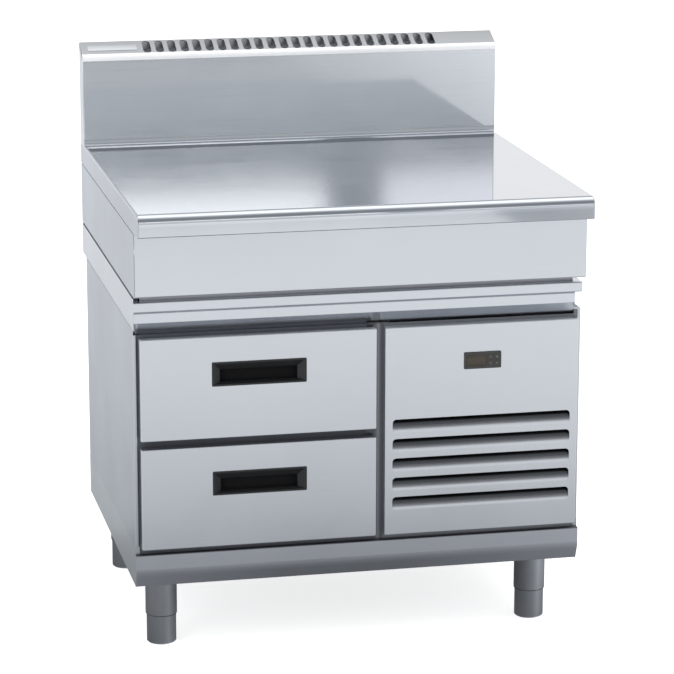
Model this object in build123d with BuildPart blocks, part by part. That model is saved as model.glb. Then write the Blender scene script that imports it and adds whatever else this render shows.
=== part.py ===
from build123d import *
import math
import os

os.makedirs("parts", exist_ok=True)

# Overall size of the module. The origin is on the floor, in the middle of the plan.
width = 900.0
depth = 805.0
worktop_height = 915.0
splash_rise = 215.5

# Sheet thicknesses and clearances
gauge = 1.5  # worktop, splashback and apron
skin = 1.2  # cabinet panels, drawer fronts and louvred panel
chassis = 2.0  # base frame and runners
bend = 2.5  # outside radius of an ordinary fold
seam = 1.0  # open line between two neighbouring sheets
fit = 0.3  # clearance between pieces that move past each other
flange = 20.0  # turned-in edge of a panel

# Planes that face the cook, measured back from the worktop's nose
apron_setback = 53.5
face_setback = 60.5
rail_setback = 76.5
frame_setback = 84.5
base_setback = 74.5
nose_y = -depth / 2
apron_y = nose_y + apron_setback
face_y = nose_y + face_setback
rail_y = nose_y + rail_setback
frame_y = nose_y + frame_setback
base_y = nose_y + base_setback

# Planes at the back
flue_depth = 52.5
cabinet_gap = 52.5  # service space between cabinet and wall
rear_y = depth / 2
splash_y = rear_y - flue_depth
cabinet_rear_y = rear_y - cabinet_gap

# Heights, from the worktop down to the drawer fronts
lip_drop = 45.0
apron_height = 126.0
shadow_gap = 14.5
joining_height = 20.5
top_rail_height = 20.5
drip_height = 24.5
head_gap = 5.0
lip_z = worktop_height - lip_drop
apron_z = lip_z - apron_height
joining_z = apron_z - shadow_gap
top_rail_z = joining_z - joining_height
drip_top_z = top_rail_z - top_rail_height
drip_z = drip_top_z - drip_height
head_z = drip_z - head_gap

# Heights, from the floor up to the drawer fronts
leg_height = 153.5
base_lean_height = 29.2
base_lean = 12.0
base_face_height = 38.7
base_gap = 13.3
base_bend = 40.0  # outside radius of the front rail's middle fold
base_side_height = 83.0
bend_z = leg_height + base_lean_height
base_top_z = bend_z + base_face_height
sill_z = base_top_z + base_gap
side_seam_z = leg_height + base_side_height
base_floor_z = leg_height + chassis

# Widths of the two bays
side_reveal = 10.5
drawer_front_width = 468.0
bay_gap = 17.0
drawer_gap = 16.3
drawer_left_x = -width / 2 + side_reveal
drawer_right_x = drawer_left_x + drawer_front_width
louvre_left_x = drawer_right_x + bay_gap
louvre_right_x = width / 2 - side_reveal
drawer_x = (drawer_left_x + drawer_right_x) / 2
louvre_x = (louvre_left_x + louvre_right_x) / 2
drawer_front_height = (head_z - sill_z - drawer_gap) / 2
upper_drawer_z = head_z - drawer_front_height / 2
lower_drawer_z = sill_z + drawer_front_height / 2

# Cold cavity behind the drawers
drawer_side_land = 48.0  # overlap of a drawer front on each side of its opening
drawer_land = 16.0  # overlap of a drawer front above and below its opening
rear_wall = 40.0
floor_wall = 45.0
liner_wall = 1.0
cavity_width = drawer_front_width - 2 * drawer_side_land
cavity_left_x = drawer_x - cavity_width / 2
cavity_right_x = drawer_x + cavity_width / 2
cavity_top_z = head_z - drawer_land
cavity_floor_z = sill_z + drawer_land
cavity_rear_y = cabinet_rear_y - rear_wall

# Machine bay on the right
mullion_lap = 14.5  # overlap of a front on the post between the bays
mullion_x = drawer_right_x - mullion_lap
partition_x = louvre_left_x + mullion_lap
frame_thick = 8.0
frame_rear_y = frame_y + frame_thick

# Side strip under the apron, and the sheets that the cabinet is packed between
strip_gap = 6.0
strip_rise = 11.0
strip_top_z = apron_z - strip_gap
strip_z = drip_z + strip_rise
cabinet_top_z = strip_z - skin
cabinet_floor_z = cavity_floor_z - liner_wall - floor_wall
frame_top_z = drip_z - fit
drip_lean = 14.0
drip_return = 12.0
roof_front_y = rail_y + drip_lean + drip_return + fit


def fold(corners, radius, thickness, inside):
    """Section of a sheet folded at the given corners and thickened to one side."""
    with BuildSketch(mode=Mode.PRIVATE) as section:
        with BuildLine():
            if radius:
                FilletPolyline(*corners, radius=radius)
            else:
                Polyline(*corners)
            offset(amount=thickness, side=inside)
        make_face()
    return section.sketch


def save(piece, name):
    """Label a finished piece and write it to its own file."""
    piece.part.label = name
    export_step(piece.part, f"parts/{name}.step")


# Worktop: one pressed sheet with a rolled front nose, turned-down sides and a
# coved upstand that the splashback stands on. The flue behind the cove is open.
nose_radius = 15.0
worktop_edge = 4.0
cove_radius = 3.0
upstand = 12.0
nose_return = 18.0
lip_radius = 1.2
with BuildPart() as worktop:
    with BuildSketch(Plane.YZ):
        with BuildLine():
            Polyline(
                (nose_y + nose_radius, worktop_height),
                (rear_y, worktop_height),
                (rear_y, lip_z),
                (nose_y, lip_z),
                (nose_y, worktop_height - nose_radius),
            )
            RadiusArc(
                (nose_y, worktop_height - nose_radius),
                (nose_y + nose_radius, worktop_height),
                nose_radius,
            )
        make_face()
    extrude(amount=width / 2, both=True)
    end_faces = worktop.faces().filter_by(Axis.X)
    rim = [
        edge
        for edge in end_faces.edges()
        if edge.center().Z > lip_z + fit and edge.center().Y < rear_y - fit
    ]
    fillet(rim, radius=worktop_edge)
    bottom = worktop.faces().sort_by(Axis.Z)[0]
    rear = worktop.faces().sort_by(Axis.Y)[-1]
    offset(amount=-gauge, openings=[bottom, rear])
    with BuildSketch(Plane.XY.offset(worktop_height - worktop_edge)):
        with Locations((0, splash_y + gauge + flue_depth / 2)):
            Rectangle(width - 2 * gauge, flue_depth)
    extrude(amount=worktop_edge, mode=Mode.SUBTRACT)
    with BuildSketch(Plane.YZ):
        with BuildLine():
            RadiusArc(
                (splash_y, worktop_height + cove_radius),
                (splash_y - cove_radius, worktop_height),
                cove_radius,
            )
            Polyline(
                (splash_y - cove_radius, worktop_height),
                (splash_y + gauge, worktop_height),
                (splash_y + gauge, worktop_height + upstand),
                (splash_y, worktop_height + upstand),
                (splash_y, worktop_height + cove_radius),
            )
        make_face()
    extrude(amount=width / 2 - gauge, both=True)
    with BuildSketch(Plane.XY.offset(lip_z)):
        with Locations((0, nose_y + nose_return / 2)):
            Rectangle(width - 2 * gauge, nose_return)
    extrude(amount=gauge)
    lip_edge = worktop.edges().filter_by(Axis.X).group_by(Axis.Z)[0].sort_by(Axis.Y)[0]
    fillet(lip_edge, radius=lip_radius)
save(worktop, "worktop")

# Three top-hat channels under the worktop keep it flat.
stiffener_height = 28.0
stiffener_width = 70.0
stiffener_rows = 3
stiffener_inset = 139.0
stiffener_mid_y = (apron_y + splash_y) / 2
stiffener_span = splash_y - apron_y - 2 * stiffener_inset
stiffener_pitch = stiffener_span / (stiffener_rows - 1)
stiffener_length = width - 4 * flange
stiffener_top_z = worktop_height - gauge
with BuildPart() as worktop_stiffeners:
    for row in range(stiffener_rows):
        stiffener_y = stiffener_mid_y - stiffener_span / 2 + row * stiffener_pitch
        with BuildSketch(Plane.YZ):
            with Locations((stiffener_y, 0)):
                add(
                    fold(
                        [
                            (-stiffener_width / 2 - flange, stiffener_top_z),
                            (-stiffener_width / 2, stiffener_top_z),
                            (-stiffener_width / 2, stiffener_top_z - stiffener_height),
                            (stiffener_width / 2, stiffener_top_z - stiffener_height),
                            (stiffener_width / 2, stiffener_top_z),
                            (stiffener_width / 2 + flange, stiffener_top_z),
                        ],
                        bend,
                        gauge,
                        Side.RIGHT,
                    )
                )
        extrude(amount=stiffener_length / 2, both=True)
save(worktop_stiffeners, "worktop_stiffeners")

# Splashback: one sheet folded round three sides of the flue. Its sides follow the
# slope of the vent deck, and its front stands on the worktop's upstand.
deck_front_rise = 191.5  # height of the deck's front edge above the worktop
deck_lip = 11.0
deck_nose = 10.0  # outside radius of the deck's front edge
deck_front_z = worktop_height + deck_front_rise
deck_rear_z = worktop_height + splash_rise
deck_slope = math.atan2(deck_rear_z - deck_front_z, flue_depth)
deck_drop = gauge / math.cos(deck_slope)  # thickness of the deck measured upright
with BuildPart() as splashback:
    with BuildSketch(Plane.XY.offset(worktop_height)):
        add(
            fold(
                [
                    (-width / 2, rear_y - 2 * gauge),
                    (-width / 2, splash_y),
                    (width / 2, splash_y),
                    (width / 2, rear_y - 2 * gauge),
                ],
                bend,
                gauge,
                Side.LEFT,
            )
        )
    extrude(amount=splash_rise)
    with BuildSketch(Plane.YZ):
        with BuildLine():
            Polyline(
                (splash_y - gauge, deck_front_z - deck_nose),
                (splash_y + gauge + bend, deck_front_z - deck_nose),
                (splash_y + deck_nose, deck_front_z - deck_drop - gauge),
                (rear_y, deck_rear_z - deck_drop - gauge),
                (rear_y, deck_rear_z + gauge),
                (splash_y - gauge, deck_rear_z + gauge),
                close=True,
            )
        make_face()
    extrude(amount=width, both=True, mode=Mode.SUBTRACT)
    with BuildSketch(Plane.XY.offset(worktop_height)):
        with Locations((0, splash_y + gauge)):
            Rectangle(width - 2 * gauge, 2 * gauge + bend)
    extrude(amount=upstand + seam, mode=Mode.SUBTRACT)
save(splashback, "splashback")

# Vent deck: the sloping cap of the splashback, with a row of round-ended slots.
slot_count = 24
slot_pitch = 26.9
slot_width = 17.0
slot_length = 45.0
deck_mid_y = (splash_y + rear_y) / 2
deck_mid_z = (deck_front_z + deck_rear_z) / 2
deck_plane = Plane(
    origin=(0, deck_mid_y, deck_mid_z),
    x_dir=(1, 0, 0),
    z_dir=(0, -math.sin(deck_slope), math.cos(deck_slope)),
)
with BuildPart() as vent_deck:
    with BuildSketch(Plane.YZ):
        add(
            fold(
                [
                    (splash_y - gauge, deck_front_z - deck_lip),
                    (splash_y - gauge, deck_front_z),
                    (rear_y, deck_rear_z),
                    (rear_y, deck_rear_z - flange),
                ],
                [deck_nose, bend],
                gauge,
                Side.RIGHT,
            )
        )
    extrude(amount=width / 2, both=True)
    with BuildSketch(deck_plane):
        with GridLocations(slot_pitch, 0, slot_count, 1):
            SlotOverall(slot_length, slot_width, rotation=90)
    extrude(amount=2 * gauge, both=True, mode=Mode.SUBTRACT)
save(vent_deck, "vent_deck")

# Flue back: the tall rear sheet that closes the flue and the apron box.
flue_back_z = strip_z
with BuildPart() as flue_back:
    with BuildSketch(Plane.XZ.offset(-(rear_y - gauge))):
        with Locations((0, (flue_back_z + deck_rear_z - flange) / 2)):
            Rectangle(width - 2 * (gauge + fit), deck_rear_z - flange - flue_back_z)
    extrude(amount=-gauge)
save(flue_back, "flue_back")

# Apron: the box under the worktop, a front panel between two joggled sides.
apron_return = 30.0
apron_front_return = 60.0
joggle = gauge + fit
apron_lap = 30.0
apron_side_top_z = lip_z + apron_lap
with BuildPart() as apron_front:
    with BuildSketch(Plane.YZ):
        add(
            fold(
                [
                    (apron_y + apron_front_return, apron_z),
                    (apron_y, apron_z),
                    (apron_y, worktop_height - gauge),
                    (apron_y + flange, worktop_height - gauge),
                ],
                bend,
                gauge,
                Side.RIGHT,
            )
        )
    extrude(amount=width / 2 - gauge - fit, both=True)
    with BuildSketch(Plane.XY.offset(apron_z)):
        for side in (-1, 1):
            with Locations((side * width / 2, apron_y + gauge + apron_front_return / 2)):
                Rectangle(2 * apron_return, apron_front_return)
    extrude(amount=gauge, mode=Mode.SUBTRACT)
    with BuildSketch(Plane.XZ.offset(-apron_y)):
        for side in (-1, 1):
            with Locations((side * width / 2, worktop_height - gauge - worktop_edge / 2)):
                Rectangle(2 * worktop_edge, worktop_edge)
    extrude(amount=-flange, mode=Mode.SUBTRACT)
save(apron_front, "apron_front")

with BuildPart() as apron_sides:
    with BuildSketch(Plane.XZ.offset(-(rear_y - gauge))):
        add(
            fold(
                [
                    (-width / 2 + apron_return, apron_z),
                    (-width / 2, apron_z),
                    (-width / 2, lip_z - seam),
                    (-width / 2 + joggle, lip_z - seam),
                    (-width / 2 + joggle, apron_side_top_z),
                ],
                0,
                gauge,
                Side.RIGHT,
            )
        )
    extrude(amount=rear_y - gauge - apron_y - gauge - fit)
    mirror(about=Plane.YZ)
save(apron_sides, "apron_sides")

# Joining frame: the apron box stands on it. A recessed spacer makes the dark line
# under the apron. The front channel and the right flange run full width, and on the
# left a deep side strip hides the frame. On the right the side is set in.
spacer_width = 14.0
right_set_in = 15.0
joining_depth = 60.0
strip_x = -width / 2
set_in_x = width / 2 - right_set_in
spacer_y = apron_y + apron_front_return - spacer_width
with BuildPart() as joining_frame:
    with BuildSketch(Plane.YZ.offset(strip_x + gauge)):
        add(
            fold(
                [
                    (rail_y + joining_depth, joining_z),
                    (rail_y, joining_z),
                    (rail_y, top_rail_z),
                    (rail_y + flange, top_rail_z),
                ],
                bend,
                gauge,
                Side.LEFT,
            )
        )
    extrude(amount=width - gauge)
    with BuildSketch(Plane.XZ.offset(-(rail_y + joining_depth))):
        add(
            fold(
                [
                    (width / 2 - joining_depth, joining_z),
                    (width / 2, joining_z),
                    (width / 2, top_rail_z),
                    (set_in_x, top_rail_z),
                    (set_in_x, strip_z),
                    (set_in_x - flange, strip_z),
                ],
                0,
                gauge,
                Side.RIGHT,
            )
        )
    extrude(amount=-(rear_y - gauge - rail_y - joining_depth))
    with BuildSketch(Plane.YZ.offset(set_in_x)):
        with BuildLine():
            Polyline(
                (rail_y + joining_depth, top_rail_z),
                (rail_y + flange + fit, top_rail_z),
                (rail_y + flange + fit, strip_z),
                (rail_y + joining_depth, strip_z),
                close=True,
            )
        make_face()
    extrude(amount=-gauge)
    with BuildSketch(Plane.XZ.offset(-rail_y)):
        add(
            fold(
                [
                    (strip_x, strip_top_z),
                    (strip_x, strip_z),
                    (strip_x + flange, strip_z),
                ],
                0,
                gauge,
                Side.LEFT,
            )
        )
    extrude(amount=-(rear_y - gauge - rail_y))
    with BuildSketch(Plane.XY.offset(joining_z)):
        with Locations((0, spacer_y)):
            Rectangle(width - 2 * (apron_return - spacer_width), spacer_width)
        for side in (-1, 1):
            with Locations(
                (
                    side * (width / 2 - apron_return + spacer_width / 2),
                    (spacer_y + rear_y - gauge) / 2,
                )
            ):
                Rectangle(spacer_width, rear_y - gauge - spacer_y)
    extrude(amount=shadow_gap)
    with BuildSketch(Plane.XY.offset(strip_z)):
        with Locations((strip_x + gauge + flange / 2, (rail_y + roof_front_y) / 2)):
            Rectangle(flange, roof_front_y - rail_y)
    extrude(amount=gauge, mode=Mode.SUBTRACT)
save(joining_frame, "joining_frame")

# Top rail of the cabinet, with a drip nose that leans back over the drawers.
with BuildPart() as top_rail:
    with BuildSketch(Plane.YZ.offset(strip_x + gauge + fit)):
        add(
            fold(
                [
                    (rail_y + flange, top_rail_z),
                    (rail_y, top_rail_z),
                    (rail_y, drip_top_z),
                    (rail_y + drip_lean, drip_z),
                    (rail_y + drip_lean + drip_return, drip_z),
                ],
                bend,
                gauge,
                Side.LEFT,
            )
        )
    extrude(amount=set_in_x - strip_x - gauge - fit)
save(top_rail, "top_rail")

# Cabinet sides: a panel folded round a narrow front stile and a rear flange.
stile = 8.0
with BuildPart() as cabinet_sides:
    with BuildSketch(Plane.XY.offset(side_seam_z + fit)):
        add(
            fold(
                [
                    (-width / 2 + stile, frame_rear_y),
                    (-width / 2 + stile, frame_y),
                    (-width / 2, frame_y),
                    (-width / 2, cabinet_rear_y),
                    (-width / 2 + flange, cabinet_rear_y),
                ],
                bend,
                skin,
                Side.RIGHT,
            )
        )
    extrude(amount=strip_z - seam - side_seam_z - fit)
    mirror(about=Plane.YZ)
    with BuildSketch(Plane.XZ.offset(-frame_y)):
        with Locations((-width / 2 + skin + stile / 2, (frame_top_z + strip_z) / 2)):
            Rectangle(stile, strip_z - frame_top_z)
    extrude(amount=-(roof_front_y - frame_y), mode=Mode.SUBTRACT)
    with BuildSketch(Plane.XY.offset(strip_z - seam - skin)) as ledge:
        with Locations(
            (
                (set_in_x + fit + width / 2) / 2,
                (frame_y + roof_front_y - fit) / 2,
            )
        ):
            Rectangle(width / 2 - set_in_x - fit, roof_front_y - fit - frame_y)
        fillet(ledge.vertices().group_by(Axis.X)[-1].sort_by(Axis.Y)[0], radius=bend)
    extrude(amount=skin)
save(cabinet_sides, "cabinet_sides")

# Sheets that close the cabinet's top, floor and back. The floor has a drain hole,
# and the back has a hole for the cable gland.
inner_half = width / 2 - skin - fit
inner_rear_y = cabinet_rear_y - skin - fit
bearer_rows = 3
bearer_inset = 78.0
bearer_span = cabinet_rear_y - frame_y - 2 * bearer_inset
bearer_pitch = bearer_span / (bearer_rows - 1)
bearer_last_y = cabinet_rear_y - bearer_inset
drain_radius = 9.0
drain_y = bearer_last_y - bearer_pitch / 2  # midway between two bearers
gland_radius = 10.0
gland_inset = 70.0
gland_rise = 90.0
gland_x = width / 2 - gland_inset
gland_z = cabinet_floor_z + gland_rise
with BuildPart() as cabinet_top:
    with BuildSketch(Plane.XY.offset(cabinet_top_z)):
        with Locations((0, (roof_front_y + inner_rear_y) / 2)):
            Rectangle(2 * inner_half, inner_rear_y - roof_front_y)
    extrude(amount=skin)
save(cabinet_top, "cabinet_top")

with BuildPart() as cabinet_floor:
    with BuildSketch(Plane.XY.offset(cabinet_floor_z - skin)):
        with Locations((0, (frame_y + inner_rear_y) / 2)):
            Rectangle(2 * (width / 2 - chassis - fit), inner_rear_y - frame_y)
        with Locations((drawer_x, drain_y)):
            Circle(drain_radius + fit, mode=Mode.SUBTRACT)
    extrude(amount=skin)
save(cabinet_floor, "cabinet_floor")

with BuildPart() as cabinet_back:
    with BuildSketch(Plane.XZ.offset(-cabinet_rear_y)):
        with Locations((0, (cabinet_floor_z + cabinet_top_z) / 2)):
            Rectangle(2 * (width / 2 - flange - fit), cabinet_top_z - cabinet_floor_z)
        with Locations((gland_x, gland_z)):
            Circle(gland_radius + fit, mode=Mode.SUBTRACT)
    extrude(amount=skin)
save(cabinet_back, "cabinet_back")

# Bay frame: the post between the bays and the ring behind the louvred panel.
bay_bar = 34.0
bay_right_x = width / 2 - stile - fit
ear_top_z = strip_z - seam - skin - fit
with BuildPart() as bay_frame:
    with BuildSketch(Plane.XZ.offset(-frame_y)):
        with Locations(
            ((mullion_x + bay_right_x) / 2, (cabinet_floor_z + frame_top_z) / 2)
        ):
            Rectangle(bay_right_x - mullion_x, frame_top_z - cabinet_floor_z)
        with Locations(
            (
                (partition_x + bay_right_x - bay_bar) / 2,
                (sill_z + frame_top_z) / 2,
            )
        ):
            Rectangle(
                bay_right_x - bay_bar - partition_x,
                frame_top_z - sill_z - 2 * bay_bar,
                mode=Mode.SUBTRACT,
            )
        with Locations(
            (
                (set_in_x + fit + bay_right_x) / 2,
                (frame_top_z + ear_top_z) / 2,
            )
        ):
            Rectangle(bay_right_x - set_in_x - fit, ear_top_z - frame_top_z)
    extrude(amount=-skin)
    with BuildSketch(Plane.XY.offset(cabinet_floor_z)):
        for edge_x in (mullion_x + skin / 2, partition_x - skin / 2):
            with Locations((edge_x, (frame_y + frame_rear_y) / 2)):
                Rectangle(skin, frame_thick)
    extrude(amount=frame_top_z - cabinet_floor_z)
save(bay_frame, "bay_frame")

# Breaker frame: the dark plastic surround of the two drawer openings.
opening_height = drawer_front_height - 2 * drawer_land
breaker_left_x = -width / 2 + stile + fit
breaker_right_x = mullion_x - fit
with BuildPart() as breaker_frame:
    with BuildSketch(Plane.XZ.offset(-frame_y)):
        with Locations(
            (
                (breaker_left_x + breaker_right_x) / 2,
                (cabinet_floor_z + frame_top_z) / 2,
            )
        ):
            Rectangle(breaker_right_x - breaker_left_x, frame_top_z - cabinet_floor_z)
        for opening_z in (upper_drawer_z, lower_drawer_z):
            with Locations((drawer_x, opening_z)):
                Rectangle(cavity_width, opening_height, mode=Mode.SUBTRACT)
    extrude(amount=-frame_thick)
save(breaker_frame, "breaker_frame")

# Partition sheet between the cold cavity and the machine bay.
packing_y = frame_rear_y + fit
with BuildPart() as partition:
    with BuildSketch(Plane.YZ.offset(partition_x - skin)):
        with Locations(
            ((roof_front_y + inner_rear_y) / 2, (cabinet_floor_z + cabinet_top_z) / 2)
        ):
            Rectangle(inner_rear_y - roof_front_y, cabinet_top_z - cabinet_floor_z)
    extrude(amount=skin)
save(partition, "partition")

# Insulation: foam slabs round the cavity on five sides.
slab_left_x = -width / 2 + chassis + fit
slab_right_x = partition_x - skin
liner_left_x = cavity_left_x - liner_wall
liner_right_x = cavity_right_x + liner_wall
liner_floor_z = cavity_floor_z - liner_wall
liner_top_z = cavity_top_z + liner_wall
liner_rear_y = cavity_rear_y + liner_wall
liner_x = (liner_left_x + liner_right_x) / 2
liner_width = liner_right_x - liner_left_x
with BuildPart() as insulation:
    with BuildSketch(Plane.XY.offset(cabinet_floor_z)):
        with Locations(((slab_left_x + liner_left_x) / 2, (packing_y + inner_rear_y) / 2)):
            Rectangle(liner_left_x - slab_left_x, inner_rear_y - packing_y)
        with Locations(((slab_right_x + liner_right_x) / 2, (packing_y + inner_rear_y) / 2)):
            Rectangle(slab_right_x - liner_right_x, inner_rear_y - packing_y)
        with Locations((liner_x, (liner_rear_y + inner_rear_y) / 2)):
            Rectangle(liner_width, inner_rear_y - liner_rear_y)
    extrude(amount=cabinet_top_z - cabinet_floor_z)
    with BuildSketch(Plane.XY.offset(cabinet_floor_z)):
        with Locations((liner_x, (packing_y + liner_rear_y) / 2)):
            Rectangle(liner_width, liner_rear_y - packing_y)
        with Locations((drawer_x, drain_y)):
            Circle(drain_radius + fit, mode=Mode.SUBTRACT)
    extrude(amount=floor_wall)
    with BuildSketch(Plane.XY.offset(liner_top_z)):
        with Locations((liner_x, (packing_y + liner_rear_y) / 2)):
            Rectangle(liner_width, liner_rear_y - packing_y)
    extrude(amount=cabinet_top_z - liner_top_z)
    with BuildSketch(Plane.YZ.offset(-width / 2)):
        with Locations(
            ((packing_y + roof_front_y) / 2, (frame_top_z + cabinet_top_z) / 2)
        ):
            Rectangle(roof_front_y - packing_y, cabinet_top_z - frame_top_z)
    extrude(amount=width, mode=Mode.SUBTRACT)
save(insulation, "insulation")

# Liner: the thin inner box of the cold cavity.
with BuildPart() as liner:
    with BuildSketch(Plane.XZ.offset(-packing_y)):
        with Locations((liner_x, (liner_floor_z + liner_top_z) / 2)):
            Rectangle(liner_width, liner_top_z - liner_floor_z)
    extrude(amount=-(liner_rear_y - packing_y))
    with BuildSketch(Plane.XZ.offset(-packing_y)):
        with Locations((drawer_x, (cavity_floor_z + cavity_top_z) / 2)):
            Rectangle(cavity_width, cavity_top_z - cavity_floor_z)
    extrude(amount=-(cavity_rear_y - packing_y), mode=Mode.SUBTRACT)
    with BuildSketch(Plane.XY.offset(liner_floor_z)):
        with Locations((drawer_x, drain_y)):
            Circle(drain_radius + fit)
    extrude(amount=liner_wall, mode=Mode.SUBTRACT)
save(liner, "liner")

# Base: the front rail has a flat upper face and a lower part that leans back.
cap_y = base_y + base_lean
cap_thick = chassis + fit
with BuildPart() as base_front_rail:
    with BuildSketch(Plane.YZ):
        add(
            fold(
                [
                    (frame_y - fit, base_top_z),
                    (base_y, base_top_z),
                    (base_y, bend_z),
                    (cap_y, leg_height),
                    (cap_y + flange, leg_height),
                ],
                [bend, base_bend, bend],
                gauge,
                Side.LEFT,
            )
        )
    extrude(amount=width / 2 - cap_thick, both=True)
    with BuildSketch(Plane.YZ.offset(width / 2 - cap_thick)):
        with BuildLine():
            FilletPolyline(
                (frame_y - fit, base_top_z),
                (base_y, base_top_z),
                (base_y, bend_z),
                (cap_y, leg_height),
                radius=[bend, base_bend],
            )
            Polyline(
                (cap_y, leg_height),
                (cap_y, leg_height + gauge),
                (frame_y - fit, bend_z),
                (frame_y - fit, base_top_z),
            )
        make_face()
    extrude(amount=cap_thick)
    mirror(about=Plane.YZ)
save(base_front_rail, "base_front_rail")

base_flange = 30.0
with BuildPart() as base_frame:
    with BuildSketch(Plane.YZ.offset(-width / 2)):
        with BuildLine():
            Polyline(
                (frame_y, side_seam_z),
                (frame_y, bend_z),
                (cap_y + fit, leg_height + gauge),
                (cap_y + fit, leg_height),
                (cabinet_rear_y, leg_height),
                (cabinet_rear_y, side_seam_z),
                close=True,
            )
        make_face()
    extrude(amount=chassis)
    with BuildSketch(Plane.XY.offset(leg_height)):
        with Locations(
            (
                -width / 2 + base_flange / 2,
                (cap_y + flange + fit + cabinet_rear_y) / 2,
            )
        ):
            Rectangle(base_flange, cabinet_rear_y - cap_y - flange - fit)
    extrude(amount=chassis)
    with BuildSketch(Plane.XZ.offset(-frame_y)):
        with Locations(
            ((-width + stile) / 2, (base_top_z + fit + side_seam_z) / 2)
        ):
            Rectangle(stile, side_seam_z - base_top_z - fit)
    extrude(amount=-chassis)
    mirror(about=Plane.YZ)
    with BuildSketch(Plane.YZ):
        add(
            fold(
                [
                    (cabinet_rear_y - base_flange, leg_height),
                    (cabinet_rear_y, leg_height),
                    (cabinet_rear_y, cabinet_floor_z - skin),
                ],
                0,
                chassis,
                Side.LEFT,
            )
        )
    extrude(amount=width / 2 - chassis, both=True)
save(base_frame, "base_frame")

with BuildPart() as base_floor:
    with BuildSketch(Plane.XY.offset(base_floor_z)):
        with Locations((0, (cap_y + gauge + fit + cabinet_rear_y - chassis) / 2)):
            Rectangle(
                width - 2 * (chassis + fit),
                cabinet_rear_y - chassis - 2 * fit - cap_y - gauge,
            )
    extrude(amount=gauge)
save(base_floor, "base_floor")

# Bearers: top-hat channels that carry the cabinet floor on the base.
bearer_width = 60.0
bearer_z = base_floor_z + gauge
bearer_top_z = cabinet_floor_z - skin
with BuildPart() as base_bearers:
    for row in range(bearer_rows):
        bearer_y = bearer_last_y - row * bearer_pitch
        with BuildSketch(Plane.YZ):
            with Locations((bearer_y, 0)):
                add(
                    fold(
                        [
                            (-bearer_width / 2 - flange, bearer_z),
                            (-bearer_width / 2, bearer_z),
                            (-bearer_width / 2, bearer_top_z - chassis),
                            (bearer_width / 2, bearer_top_z - chassis),
                            (bearer_width / 2, bearer_z),
                            (bearer_width / 2 + flange, bearer_z),
                        ],
                        0,
                        chassis,
                        Side.LEFT,
                    )
                )
        extrude(amount=width / 2 - base_flange, both=True)
save(base_bearers, "base_bearers")

# Legs: a steel sleeve under each corner of the base, with a foot wound up inside.
sleeve_radius = 31.75
foot_radius = 29.7
sleeve_z = 62.0
leg_inset_x = 66.0
leg_front_inset = 193.5
leg_rear_inset = 117.5
leg_x = width / 2 - leg_inset_x
leg_front_y = nose_y + leg_front_inset
leg_rear_y = rear_y - leg_rear_inset
foot_travel = 45.0
foot_grip = 28.0  # length of foot that stays in the sleeve when wound right out
foot_flat = 3.0
leg_plate = 70.0
leg_places = {
    "front_left": (-leg_x, leg_front_y),
    "front_right": (leg_x, leg_front_y),
    "rear_left": (-leg_x, leg_rear_y),
    "rear_right": (leg_x, leg_rear_y),
}
with BuildPart() as leg_sleeves:
    with BuildSketch(Plane.XY.offset(sleeve_z)):
        with Locations(*leg_places.values()):
            Circle(sleeve_radius)
    extrude(amount=leg_height - sleeve_z)
    with BuildSketch(Plane.XY.offset(leg_height)):
        with Locations(*leg_places.values()):
            RectangleRounded(leg_plate, leg_plate, bend)
    extrude(amount=chassis)
    with BuildSketch(Plane.XY.offset(sleeve_z)):
        with Locations(*leg_places.values()):
            Circle(foot_radius + fit)
    extrude(amount=leg_height - sleeve_z - 2 * gauge, mode=Mode.SUBTRACT)
save(leg_sleeves, "leg_sleeves")

for place, (foot_x, foot_y) in leg_places.items():
    with BuildPart() as foot:
        with BuildSketch(Plane.XY):
            with Locations((foot_x, foot_y)):
                Circle(foot_radius)
        extrude(amount=sleeve_z + foot_travel - foot_grip / 2)
        sole = foot.edges().sort_by(Axis.Z)[0]
        crown = foot.edges().sort_by(Axis.Z)[-1]
        chamfer([sole, crown], length=foot_flat)
    save(foot, f"foot_{place}")

# Telescopic runners: three channels nested in each other on each side of a tub.
runner_wall = 1.6
runner_gap = 0.6
runner_height = 44.0
runner_depth = 12.0
runner_step = runner_wall + runner_gap
runner_rear_gap = 38.0
runner_rise = 36.0
tub_gap = 16.0  # room for one runner on each side of a tub
tub_rear_gap = 58.0  # room for the evaporator and a little air behind a tub
tub_rise = 10.0
tub_headroom = 32.0
plug_depth = 38.0
front_fold = 16.0
front_rear_y = face_y + front_fold
plug_rear_y = front_rear_y + plug_depth
runner_y = plug_rear_y + fit
runner_length = cavity_rear_y - runner_rear_gap - runner_y
tub_length = cavity_rear_y - tub_rear_gap - plug_rear_y
tub_height = opening_height - tub_rise - tub_headroom


def runner_pair(heights, member, reach):
    """Channels of one runner member, for both sides of each drawer height."""
    half = runner_height / 2 - member * runner_step
    inner = cavity_width / 2 - member * runner_step
    with BuildPart() as pair:
        with BuildSketch(Plane.XZ.offset(-runner_y)):
            for height in heights:
                for side in (-1, 1):
                    with Locations((drawer_x + side * (inner - reach / 2), height)):
                        Rectangle(reach, 2 * half)
                    with Locations(
                        (drawer_x + side * (inner - runner_wall - reach / 2), height)
                    ):
                        Rectangle(
                            reach, 2 * (half - runner_wall), mode=Mode.SUBTRACT
                        )
        extrude(amount=-runner_length)
    return pair


upper_runner_z = upper_drawer_z - opening_height / 2 + runner_rise
lower_runner_z = lower_drawer_z - opening_height / 2 + runner_rise
outer_runners = runner_pair([upper_runner_z, lower_runner_z], 0, runner_depth)
save(outer_runners, "outer_runners")

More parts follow.
